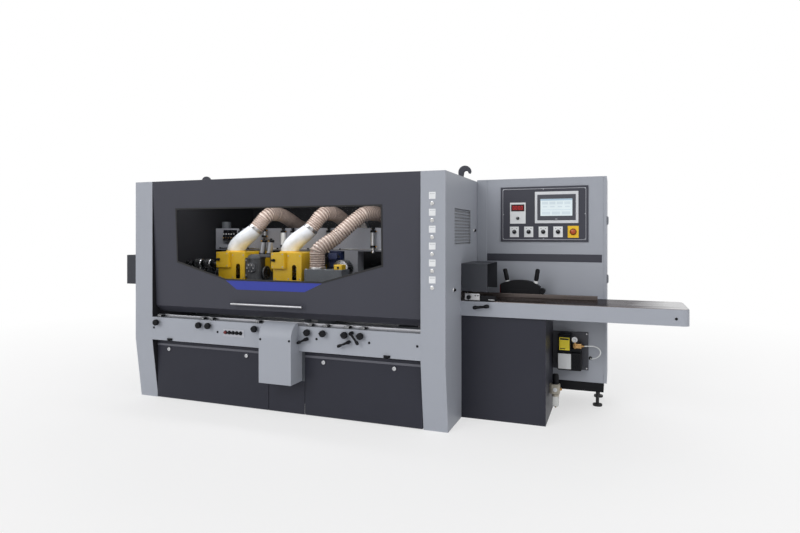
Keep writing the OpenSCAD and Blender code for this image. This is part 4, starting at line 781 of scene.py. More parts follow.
class MOULDER_OT_stage(bpy.types.Operator):
    """Camera at the viewing angle, floor, soft lamps and world"""

    bl_idname = "moulder.stage"
    bl_label = "Stage"

    def execute(self, context):
        context.scene.view_settings.view_transform = "Standard"
        context.scene.camera = self.camera()
        self.floor()
        self.world(context.scene)
        for name, (turn, spread_angle, strength) in SUNS.items():
            lamp = bpy.data.lights.new(name, "SUN")
            lamp.energy = strength
            lamp.angle = math.radians(spread_angle)
            placed(name, lamp).rotation_euler = [math.radians(a) for a in turn]
        self.bay_lamp()
        return {"FINISHED"}

    def camera(self):
        """Camera as it was fitted to the straight edges of the photo."""
        view = bpy.data.cameras.new("viewing_angle")
        view.lens = 26.0
        view.sensor_width = 36.0
        view.shift_y = -0.041
        view.clip_end = 200.0
        obj = placed("viewing_angle", view)
        obj.location = CORNER + Vector((1.021, -3.560, 1.293))
        obj.rotation_euler = (math.radians(90.0), 0.0, math.radians(20.5))
        return obj

    def bay_lamp(self):
        """Strip light under the roof that lights the bay behind the window."""
        lamp = bpy.data.lights.new("bay_lamp", "AREA")
        lamp.shape = "RECTANGLE"
        lamp.size, lamp.size_y = 2.0, 0.12
        lamp.energy = 9.0
        obj = placed("bay_lamp", lamp)
        obj.location = at(-1275, 300, 1640)
        obj.rotation_euler = (math.radians(24.0), 0.0, 0.0)

    def floor(self):
        """Pale floor that keeps the shadow near the machine and fades to white further out."""
        bm = bmesh.new()
        bmesh.ops.create_grid(bm, x_segments=1, y_segments=1, size=40.0)
        mesh = bpy.data.meshes.new("floor")
        bm.to_mesh(mesh)
        bm.free()
        made, tree, shader = bare_finish("floor_paint")
        place = shader_node(tree, "ShaderNodeTexCoord").outputs["Object"]
        drift = spread(tree, noise(tree, place, 0.7, 3.0), 0.3, 0.7, 0.98, 1.0)
        tree.links.new(blended(tree, 1.0, tuple(colours().floor), drift, "MULTIPLY"),
                       shader.inputs["Base Color"])
        shader.inputs["Roughness"].default_value = 0.7
        away = shader_node(tree, "ShaderNodeVectorMath", operation="LENGTH")
        tree.links.new(place, away.inputs[0])
        fade = spread(tree, away.outputs["Value"], 2.0, 6.5, 0.6, 1.0)
        white = shader_node(tree, "ShaderNodeEmission")
        mixed = shader_node(tree, "ShaderNodeMixShader")
        tree.links.new(sum_of(tree, "MULTIPLY", fade, seen_ray(tree)), mixed.inputs[0])
        tree.links.new(shader.outputs[0], mixed.inputs[1])
        tree.links.new(white.outputs[0], mixed.inputs[2])
        tree.links.new(mixed.outputs[0], tree.nodes["Material Output"].inputs["Surface"])
        mesh.materials.append(made)
        obj = placed("floor", mesh)

    def world(self, scene):
        world = bpy.data.worlds.new("studio")
        world.use_nodes = True
        tree = world.node_tree
        back = tree.nodes["Background"]
        back.inputs["Color"].default_value = (1.0, 1.0, 1.0, 1.0)
        tree.links.new(spread(tree, seen_ray(tree), 0.0, 1.0, 0.44, 1.0), back.inputs["Strength"])
        scene.world = world


class MOULDER_OT_oil_tube(bpy.types.Operator):
    """Thin clear tube that loops from the oil pump into the cabinet"""

    bl_idname = "moulder.oil_tube"
    bl_label = "Oil tube"

    def execute(self, context):
        stops = [at(*p) for p in (
            (806, 835, 476), (830, 838, 478), (870, 840, 478), (900, 844, 466), (916, 848, 442),
            (910, 852, 414), (888, 856, 394), (862, 862, 384), (848, 874, 380), (846, 888, 380),
            (846, 900, 380))]
        last = len(stops) - 1
        slopes = [(stops[min(i + 1, last)] - stops[max(i - 1, 0)]) * (0.5 if 0 < i < last else 1.0)
                  for i in range(last + 1)]
        fine = [cubic(stops[i], slopes[i], stops[i + 1], slopes[i + 1], k / 6)
                for i in range(last) for k in range(6)]
        fine.append(stops[-1])
        curve = bpy.data.curves.new("oil_tube", "CURVE")
        curve.dimensions = "3D"
        curve.bevel_depth = 4 * MM
        curve.bevel_resolution = 4
        line = curve.splines.new("POLY")
        line.points.add(len(fine) - 1)
        for spot, p in zip(line.points, fine):
            spot.co = (*p, 1.0)
        curve.materials.append(finish("oil_tube"))
        obj = placed("oil_tube", curve)
        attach(obj, MACHINE)
        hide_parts("lube_tube")
        return {"FINISHED"}


class MOULDER_OT_enclosure(bpy.types.Operator):
    """End pillars with their hooks and vent, roof and rear cover"""

    bl_idname = "moulder.enclosure"
    bl_label = "Enclosure"

    def execute(self, context):
        edge = sizes().sheet_edge
        for node, x0 in (("outfeed_pillar", -2550), ("infeed_pillar", -168)):
            above = ((x0 - 20, 600, ROOF - 0.01), (x0 + 190, 800, 1900))
            bm = cad_copy(node, edge, drops=[above])
            way = 1.0 if x0 < -1000 else -1.0
            # The pillars' sides that face into the bay above the rail get the dark paint as painted shade.
            darken(bm, lambda p, n: n.x * way > 0.9 and p.z > 660 and p.y > 60 and -2390 < p.x < -160)
            piece(node + "_finish", bm, ["light_paint", "inner_paint"], MACHINE, (node,))
            self.hook(node, x0 + 84)
        bm = cad_copy("rear_cover", 0.001)
        # The rear cover's faces that look forward or down into the bay get the dark paint as painted shade.
        darken(bm, lambda p, n: (n.y < -0.9 or n.z < -0.9) and p.z > 600)
        piece("rear_cover_finish", bm, ["light_paint", "inner_paint"], MACHINE, ("rear_cover",))
        self.side_locks()
        self.vent_filter()
        self.rear_panels()
        return {"FINISHED"}

    def rear_panels(self):
        """Screwed access panels of the rear, each with a pull and the middle one with louvres."""
        screw = [(0, 0), (7, 0), (7, 2), (5.4, 3.6), (3, 3.6), (3, 1.6), (0, 1.6)]
        bm = bmesh.new()
        for x0, x1 in ((-2330, -1640), (-1600, -910), (-870, -220)):
            block(bm, (x0, REAR - 0.5, 190), (x1, REAR + 2.5, 1130), 1.6, 0)
            middle = (x0 + x1) / 2
            for x in (x0 + 22, middle, x1 - 22):
                for z in (212, 1108):
                    turned(bm, screw, at(x, REAR + 2.5, z), Y_WAY, 1, 20)
            for x in (middle - 60, middle + 60):
                turned(bm, [(0, 0), (12, 0), (12, 3), (8, 5), (7, 28), (0, 28)],
                       at(x, REAR + 2.5, 1010), Y_WAY, 1, 24)
            rod(bm, at(middle - 72, REAR + 28, 1010), at(middle + 72, REAR + 28, 1010), 8.0, 1, 24, 2.5)
        for column in (-1530, -1220):
            for k in range(9):
                z = 330 + 30 * k
                block(bm, (column, REAR + 1.5, z), (column + 240, REAR + 8, z + 15), 3.0, 0, 3)
        piece("rear_panels", bm, ["light_paint", "black_plastic"], MACHINE)

    def hook(self, node, x):
        """Forged hook with a thick bend and a narrower point, on a round foot."""
        bm = bmesh.new()
        turned(bm, [(0, 0), (30, 0), (30, 6), (26, 10), (0, 10)], at(x + 6, 700, ROOF), Z_WAY, 0, 32)
        turns = [math.pi * k / 14 for k in range(15)]
        outline = [(-11, 9)] + [(36 - 50 * math.cos(a), 57.5 + 50 * math.sin(a)) for a in turns] + [(78, 43)]
        outline += [(47 + 18 * math.cos(a), 48 + 18 * math.sin(a)) for a in turns] + [(23, 9)]
        part = bmesh.new()
        slab(part, [at(x + dx, 688, ROOF + dz) for dx, dz in outline], Y_WAY * 24 * MM)
        round_edges(part, [e for e in part.edges if abs((e.verts[1].co - e.verts[0].co).y) < MERGE],
                    7.0 * MM, 3)
        join(bm, part)
        piece(node + "_hook", bm, ["hood_paint"], MACHINE, (node,))

    def vent_filter(self):
        bm = bmesh.new()
        block(bm, (-22, 222, 1215), (-16, 690, 1472), 2.0, 0)
        for k in range(9):
            block(bm, (-16.5, 240 + 52 * k, 1218), (-14, 246 + 52 * k, 1469), 1.0, 1)
        for low, high in strips((212, 1206), (700, 1481), 10):
            block(bm, (-24, *low), (-3.8, *high), 1.0, 1)
        piece("vent_filter", bm, ["filter_mat", "ground_steel"], MACHINE)

    def side_locks(self):
        bm = bmesh.new()
        for y, z in ((790, 1318), (195, 916)):
            turned(bm, [(0, 0), (16, 0), (16, 3), (14, 5), (0, 5)], at(0, y, z), X_WAY, 1, 32)
            turned(bm, [(0, 4), (10, 4.5), (10.5, 8), (9.5, 15), (8, 17), (0, 17)], at(0, y, z), X_WAY, 0, 28)
            block(bm, (14, y - 2, z - 8), (19, y + 2, z + 8), 1.2, 0)
        piece("side_locks", bm, ["black_plastic", "chrome"], MACHINE, ("fasteners",))


class MOULDER_OT_hood(bpy.types.Operator):
    """Lifting hood with its pane, rubber seal, bare band and handle"""

    bl_idname = "moulder.hood"
    bl_label = "Hood"

    def execute(self, context):
        dress("hood_shell", "hood_paint", sizes().sheet_edge * 0.66)
        paint_node("hood_window", "pane")
        self.seal()
        self.band()
        self.handle()
        return {"FINISHED"}

    def outline(self, lap):
        left, right, low_left, low_right = bay(0.897), bay(0.127), bay(0.698), bay(0.332)
        return [(left - lap, 220 - lap), (right + lap, 220 - lap), (right + lap, 620 + lap),
                (low_right + lap * 0.3, 746 + lap), (low_left - lap * 0.3, 746 + lap), (left - lap, 620 + lap)]

    def seal(self):
        width = sizes().pane_seal / MM
        bm = bmesh.new()
        outer = [bm.verts.new(on_hood(x, d, 0.0)) for x, d in self.outline(width)]
        inner = [bm.verts.new(on_hood(x, d, 0.0)) for x, d in self.outline(-2.0)]
        edges = [bm.edges.new((ring[i], ring[(i + 1) % 6])) for ring in (outer, inner) for i in range(6)]
        bmesh.ops.bridge_loops(bm, edges=edges)
        verts = lifted(bm, list(bm.faces), on_hood(0, 0, 3.0) - on_hood(0, 0, 0))
        bmesh.ops.recalc_face_normals(bm, faces=bm.faces)
        rim = [e for e in bm.edges if all(v in verts for v in e.verts) and e.calc_face_angle(0.0) > FOLD_ANGLE]
        round_edges(bm, rim, 1.2 * MM)
        piece("window_seal", bm, ["black_rubber"], "hood")

    def band(self):
        bm, part = bmesh.new(), bmesh.new()
        spots = [(bay(0.698) + 2, 757), (bay(0.332) - 2, 757), (-1045, 822), (-1616, 822)]
        out = (on_hood(0, 0, 1.0) - on_hood(0, 0, 0.0)).normalized()
        verts = slab(part, [on_hood(x, d, 0.0) for x, d in spots], out * 1.2 * MM)
        round_edges(part, [e for e in part.edges if all(v in verts for v in e.verts)], 0.5 * MM)
        join(bm, part)
        piece("hood_band", bm, ["band_blue"], "hood")

    def handle(self):
        bm = bmesh.new()
        x0, x1, down = bay(0.6676), bay(0.3975), 925
        rod(bm, on_hood(x0, down, 35), on_hood(x1, down, 35), 9.0, 0, 32, 2.0)
        for x in (x0 + 25, x1 - 25):
            out = on_hood(x, down, 35) - on_hood(x, down, 0)
            turned(bm, [(0, 0), (11, 0), (11, 2), (7.5, 4), (6, 7), (6, 30), (0, 30)],
                   on_hood(x, down, 0), out, 1, 24)
        piece("handle_bar", bm, ["handle_steel", "hood_paint"], "hood", ("hood_handle",))


class MOULDER_OT_rail(bpy.types.Operator):
    """Front rail with its steel strip, counters, bolts and catches"""

    bl_idname = "moulder.rail"
    bl_label = "Front rail"

    def execute(self, context):
        dress("front_rail", "light_paint", sizes().sheet_edge)
        bm = bmesh.new()
        block(bm, (-2380, 53, 642), (-170, 78, 659), 2.0)
        block(bm, (-2380, 78, 642), (-170, 108, 645), 1.0)
        # A thin darker band over the front of the rail top, painted shade under the hood's lip.
        block(bm, (-2380, 6, 641.6), (-170, 53.5, 643.4), 0.6, 1)
        piece("rail_strip", bm, ["brushed_strip", "track_grey"], MACHINE)
        self.counters()
        self.bolts()
        self.catches()
        return {"FINISHED"}

    def counters(self):
        bm = bmesh.new()
        for share in KNOB_SHARES:
            x = bay(share)
            block(bm, (x - 20, 14, 642), (x + 20, 49, 659), 2.5, 0)
            block(bm, (x - 15, 12.6, 646), (x + 15, 14.4, 656), 0.6, 1)
            for k in range(5):
                block(bm, (x - 13 + 5.4 * k, 11.9, 647.2), (x - 9.2 + 5.4 * k, 13.0, 654.8), 0.3, 0)
            block(bm, (x - 15, 18, 658.6), (x + 15, 45, 660), 0.5, 2)
        piece("position_counters", bm, ["black_plastic", "white_plate", "silver_plate"],
              MACHINE, ("indicator_plates",))

    def bolts(self):
        bm = bmesh.new()
        head = [(0, 0), (8.5, 0), (8.5, 1.2), (8, 2.2), (6.6, 4.2), (4.4, 5), (3.6, 5), (3.6, 2.4), (0, 2.4)]
        spots = [(bay(s), 0, 560) for s in (0.992, 0.72, 0.344, 0.164, 0.01)]
        spots += [(bay(COVER_BOX_SHARE) + side * (COVER_BOX_HALF - 14), -100, 552) for side in (-1, 1)]
        spots.append((1371, 387, 765))
        for x, y, z in spots:
            turned(bm, head, at(x, y, z), FRONT, 0, 24)
        piece("rail_bolts", bm, ["black_plastic"], MACHINE, ("fasteners",))

    def catches(self):
        bm = bmesh.new()
        for share in (0.921, 0.106):
            x = bay(share)
            block(bm, (x - 24, -6, 468), (x + 24, 0, 486), 2.0)
            block(bm, (x - 19, -14, 478), (x + 19, -4, 486), 3.0)
            block(bm, (x - 9, -13, 467), (x + 9, -3, 484), 3.0)
            for side in (-1, 1):
                turned(bm, PAN_SCREW, at(x + side * 16, -6, 474), FRONT, 0, 16)
        piece("panel_catches", bm, ["black_plastic"], MACHINE, ("fasteners",))


class MOULDER_OT_knobs(bpy.types.Operator):
    """Fluted adjusting knobs of the rail"""

    bl_idname = "moulder.knobs"
    bl_label = "Adjusting knobs"

    def execute(self, context):
        grip = [(0, 0), (15, 0), (16, 1), (16, 5), (21, 8), (23.5, 10), (23.5, 28), (21.5, 31), (17, 32),
                (15, 31), (0, 31)]
        cap = [(0, 0), (8, 0), (8, 1.0), (6.5, 1.6), (0, 1.6)]
        tail = [(0, 0), (6, 0), (6, 20), (4.5, 23), (3.5, 27), (5.2, 29), (5.2, 30), (0, 30.5)]
        for i, share in enumerate(KNOB_SHARES):
            x, z = bay(share), KNOB_HEIGHT
            bm = bmesh.new()
            turned(bm, grip, at(x, -6, z), FRONT, 0, 72, flutes=12, flute_depth=0.09, flute_span=(9.0, 31.5))
            turned(bm, cap, at(x, -36.6, z), FRONT, 0, 24)
            turned(bm, tail, at(x, -22, z), -X_WAY, 0, 20)
            rod(bm, at(x, -8, z), at(x, 40, z), 7.0, 1, 20, 0.5)
            name = "adjusting_knob_%d" % (i + 1)
            piece(name + "_grip", bm, ["black_plastic", "ground_steel"], name, (name,))
        return {"FINISHED"}


class MOULDER_OT_levers(bpy.types.Operator):
    """Clamp levers of the rail and the infeed table"""

    bl_idname = "moulder.levers"
    bl_label = "Clamp levers"

    def execute(self, context):
        rests = [(bay(0.2195), 0, 620, -52, 92), (bay(0.2295), 0, 558, 203, 84), (bay(0.376), 0, 558, 205, 72),
                 (105, 387, 782, 8, 104)]
        hub = [(0, 0), (11, 0), (13, 2), (13, 25), (12, 30), (10.5, 36), (8, 37.5), (7.2, 37.5), (7.2, 36.2),
               (0, 36.2)]
        screw = [(0, 0), (6.2, 0), (6.2, 1.6), (5.4, 2.2), (3, 2.2), (3, 0.6), (0, 0.6)]
        for i, (x, y, z, angle, reach) in enumerate(rests):
            bm = bmesh.new()
            a = math.radians(angle)
            way = Vector((math.cos(a), 0.0, math.sin(a)))
            heavy = 1.45 if y else 1.15
            turned(bm, hub, at(x, y - 6, z), FRONT, 0, 32)
            turned(bm, screw, at(x, y - 41.6, z), FRONT, 0, 18)
            grip = reach - 34
            arm = [(0, 4), (9.5, 5), (7.4, 16), (6.2, grip - 8), (6.4, grip), (8.6, grip + 6),
                   (9.6, grip + 16), (9.2, grip + 26), (7, reach - 2), (3, reach), (0, reach)]
            turned(bm, [(r * heavy, h) for r, h in arm], at(x, y - 33, z), way, 0, 24)
            rod(bm, at(x, y - 8, z), at(x, y + 40, z), 7.0, 1, 20, 0.5)
            name = "clamp_lever_%d" % (i + 1)
            piece(name + "_arm", bm, ["black_plastic", "ground_steel"], name, (name,))
        return {"FINISHED"}


class MOULDER_OT_buttons(bpy.types.Operator):
    """Keypad plate of the rail with its stop and jog buttons"""

    bl_idname = "moulder.buttons"
    bl_label = "Rail buttons"

    def execute(self, context):
        z = 563
        keys = [bay(0.6864) + 33 * i for i in range(5)]
        left = bay(0.6955)
        ring = [(7, 0), (14.5, 0), (14.5, 1.4), (13.5, 2.4), (12, 2.4), (12, 0.6), (7, 0.6), (7, 0)]
        bm = bmesh.new()
        block(bm, (left, -3, 532.5), (left + 181, 0, 587.5), 1.2)
        for x in keys:
            turned(bm, ring, at(x, -3, z), FRONT, 1, 32)
        for dx in (5, 176):
            for dz in (-22, 22):
                turned(bm, [(0, 0), (2.6, 0), (2.2, 1.0), (0, 1.2)], at(left + dx, -3, 560 + dz), FRONT, 2, 12)
        piece("keypad_plate", bm, ["keypad_grey", "black_plastic", "chrome"],
              MACHINE, ("indicator_plates",))
        cap = [(0, 0), (10.2, 0), (11, 1), (11, 7.5), (10, 9.4), (8.2, 9.6), (6.5, 8.8), (0, 8.4)]
        for name, places, kind in (("stop_button", keys[:1], "red_plastic"),
                                   ("jog_buttons", keys[1:], "black_plastic")):
            bm = bmesh.new()
            for x in places:
                turned(bm, cap, at(x, -8, z), FRONT, 0, 32)
                rod(bm, at(x, -8.5, z), at(x, 40, z), 6.0, 1, 20)
            piece(name + "_caps", bm, [kind, "ground_steel"], name, (name,))
        return {"FINISHED"}


class MOULDER_OT_lower_panels(bpy.types.Operator):
    """Lower panels with their locks, and the cover box between them"""

    bl_idname = "moulder.lower_panels"
    bl_label = "Lower panels"

    def execute(self, context):
        barrel = [(0, 0), (14, 0), (14, 9.6), (12.4, 10.8), (11, 10.8), (10.2, 9.2), (0, 9.2)]
        for node in ("left_lower_panel", "right_lower_panel"):
            dress(node, "panel_paint", sizes().sheet_edge)
            bm = bmesh.new()
            for x in self.lock_places(node):
                turned(bm, barrel, at(x, 52, 390), FRONT, 0, 32)
                block(bm, (x - 1.2, 41.8, 385), (x + 1.2, 43.4, 395), 0.3, 1)
            piece(node + "_locks", bm, ["barrel_silver", "black_plastic"], node)
            self.lip(node)
        self.cover_box()
        skirt = ((-1400, 40, 0), (-1000, 60, 243))
        dress("drive_cover_box", "panel_paint", sizes().steel_edge, keep=skirt,
              name="middle_skirt")
        return {"FINISHED"}

    def cover_box(self):
        """Cover box with a curved top, and dark strips beside its skirt that fill the seams with painted
        shade.
        """
        turns = [math.pi * k / 28 for k in range(15)]
        outline = [(-100 * math.cos(a), 557 + 110 * math.sin(a)) for a in turns]
        outline += [(0, 463), (56, 463), (56, 244), (-100, 244)]
        x0 = bay(COVER_BOX_SHARE) - COVER_BOX_HALF
        bm = bmesh.new()
        slab(bm, [at(x0, y, z) for y, z in outline], X_WAY * 2 * COVER_BOX_HALF * MM)
        bmesh.ops.recalc_face_normals(bm, faces=bm.faces)
        round_edges(bm, [e for e in bm.edges if e.calc_face_angle(0.0) > FOLD_ANGLE], 3.0 * MM, 3)
        piece("drive_cover_box_finish", bm, ["light_paint"], MACHINE, ("drive_cover_box",))
        bm = bmesh.new()
        # Dark strips behind the seams beside the skirt: painted shade.
        for x in (-1361, -1043):
            block(bm, (x - 13, 59, 8), (x + 13, 64, 440), 1.0)
        piece("seam_strips", bm, ["inner_paint"], MACHINE)

    def lip(self, node):
        """Folded rib under the top edge of a panel, in a lighter paint than the panel as a painted highlight
        along the fold.
        """
        low, high = [(p - CORNER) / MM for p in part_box(node)]
        bm = bmesh.new()
        block(bm, (low.x + 2, 48, 414), (high.x - 2, 54, 431), 3.0, 0, 3)
        piece(node + "_lip", bm, ["lip_paint"], node)

    def lock_places(self, node):
        low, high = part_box(node)
        shares = (0.883, 0.1825) if node.startswith("left") else (0.8295, 0.224)
        return [((high.x - s * (high.x - low.x)) - CORNER.x) / MM for s in shares]


class MOULDER_OT_infeed(bpy.types.Operator):
    """Infeed table, apron, cover, guards and side guide"""

    bl_idname = "moulder.infeed"
    bl_label = "Infeed end"

    def execute(self, context):
        edge = sizes().sheet_edge
        steel = sizes().steel_edge
        dress("infeed_apron", "light_paint", edge * 0.6)
        dress("infeed_base_cover", "panel_paint", edge)
        dress("tunnel_guards", "guard_paint", edge * 0.66)
        top = ((-10, 300, 700), (1460, 900, TABLE_TOP + 0.01))
        dress("infeed_table", "table_steel", steel, keep=top, name="infeed_table_top")
        self.bracket()
        self.guide()
        return {"FINISHED"}

    def bracket(self):
        bm = bmesh.new()
        block(bm, (28, 391, TABLE_TOP), (134, 407, 875), 2.0, 0)
        block(bm, (28, 391, TABLE_TOP), (134, 452, 833), 2.0, 0)
        knob = [(0, 0), (9, 0), (9, 4), (15, 6), (15.5, 16), (13.5, 18), (0, 18.5)]
        turned(bm, knob, at(58, 391, 850), FRONT, 1, 40, flutes=10, flute_depth=0.1, flute_span=(6, 19))
        screw = [(0, 0), (5, 0), (5, 2.5), (4, 3.4), (2.4, 3.4), (2.4, 1.4), (0, 1.4)]
        for x in (104, 122):
            turned(bm, screw, at(x, 391, 862), FRONT, 2, 18)
        piece("stop_bracket", bm, ["ground_steel", "black_plastic", "dark_casting"],
              MACHINE, ("infeed_table",))
        bm = bmesh.new()
        block(bm, (134, 391, TABLE_TOP), (244, 423, 861), 4.0, 0)
        block(bm, (140, 387, 829), (182, 393, 857), 2.0, 0)
        block(bm, (196, 388, 834), (238, 392, 838), 0.8, 1)
        piece("stop_block", bm, ["black_plastic", "ground_steel"], MACHINE, ("infeed_table",))

    def guide(self):
        """Side guide with an arched back, a red end and two grips."""
        bm, part = bmesh.new(), bmesh.new()
        x0, x1, y0, y1, z0 = 218.0, 510.0, 702.0, 748.0, 855.0
        count = 20
        arch = [(x1, 0.0), (x0, 0.0)]
        for k in range(count + 1):
            s = k / count
            drop = 14.0 * max(0.0, s - 0.8) / 0.2
            arch.append((x0 + s * (x1 - x0), 68.0 + 32.0 * (1.0 - (2.0 * s - 1.0) ** 2) - drop))
        slab(part, [at(x, y0, z0 + h) for x, h in arch], Y_WAY * (y1 - y0) * MM)
        rim = [e for e in part.edges if e.calc_face_angle(0.0) > math.radians(40)]
        round_edges(part, rim, 4.0 * MM, 3)
        join(bm, part)
        block(bm, (x0 - 3, y0 + 1, z0 + 2), (x0 + 5, y1 - 1, z0 + 62), 1.5, 1)
        turned(bm, [(0, 0), (20, 0), (22, 2), (22, 44), (20, 46), (10, 46), (8, 44), (0, 44)],
               at(521, y1, 877), FRONT, 0, 40)
        block(bm, (x0 + 60, y0 - 1.2, z0 + 14), (x1 - 70, y0 + 1, z0 + 30), 0.8, 0)
        grip = [(0, 41), (13, 41), (15.5, 50), (16.6, 66), (15.4, 96), (16.8, 114), (14.6, 127), (8, 131.6),
                (0, 132.4)]
        for share, tilt in ((0.2, -12.0), (0.86, 9.0)):
            a = math.radians(tilt)
            way = Vector((math.sin(a), 0.0, math.cos(a)))
            foot = at(x0 + share * (x1 - x0), (y0 + y1) / 2, z0 + 52)
            turned(bm, [(0, 0), (9, 0), (9, 30), (0, 30)], foot, way, 2, 24)
            turned(bm, [(9, 24), (15.5, 24), (15.5, 42), (9, 42), (9, 24)], foot, way, 3, 28)
            turned(bm, grip, foot, way, 0, 28)
        piece("side_guide_body", bm, ["black_plastic", "red_plastic", "ground_steel", "white_plate"],
              "side_guide", ("side_guide",))


class MOULDER_OT_cabinet(bpy.types.Operator):
    """Electrical cabinet with its plinth, side door and feet"""

    bl_idname = "moulder.cabinet"
    bl_label = "Cabinet"

    def execute(self, context):
        edge = sizes().sheet_edge
        dress("cabinet_shell", "light_paint", edge)
        dress("cabinet_door", "light_paint", edge * 3.4, steps=4)
        bm = bmesh.new()
        block(bm, (-1, 898.6, 136.5), (936, 900.5, 203), 0.6)
        block(bm, (-1, 899, 136.4), (936, 1351, 139.5), 0.6)
        block(bm, (-1, 1349.5, 136.5), (936, 1351.2, 203), 0.6)
        block(bm, (930, 899, 137), (936.2, 1351, 203), 0.6)
        piece("cabinet_plinth", bm, ["black_plastic"], MACHINE)
        bm = bmesh.new()
        block(bm, (0.5, 894, 203), (78, 901, 1708), 3.0, 0, 3)
        piece("cabinet_filler", bm, ["light_paint"], MACHINE)
        bm = bmesh.new()
        for z in (1389, 963):
            block(bm, (956, 918.5, z - 32), (962, 937.5, z + 32), 2.0)
            block(bm, (960, 922, z - 24), (970.5, 934, z + 24), 3.0)
            turned(bm, [(0, 0), (5, 0), (5, 1), (3, 1.6), (0, 1.6)], at(961.5, 928, z - 28), X_WAY, 1, 16)
        piece("door_locks", bm, ["black_plastic", "chrome"], "cabinet_door")
        paint_node("levelling_feet", "black_rubber")
        return {"FINISHED"}


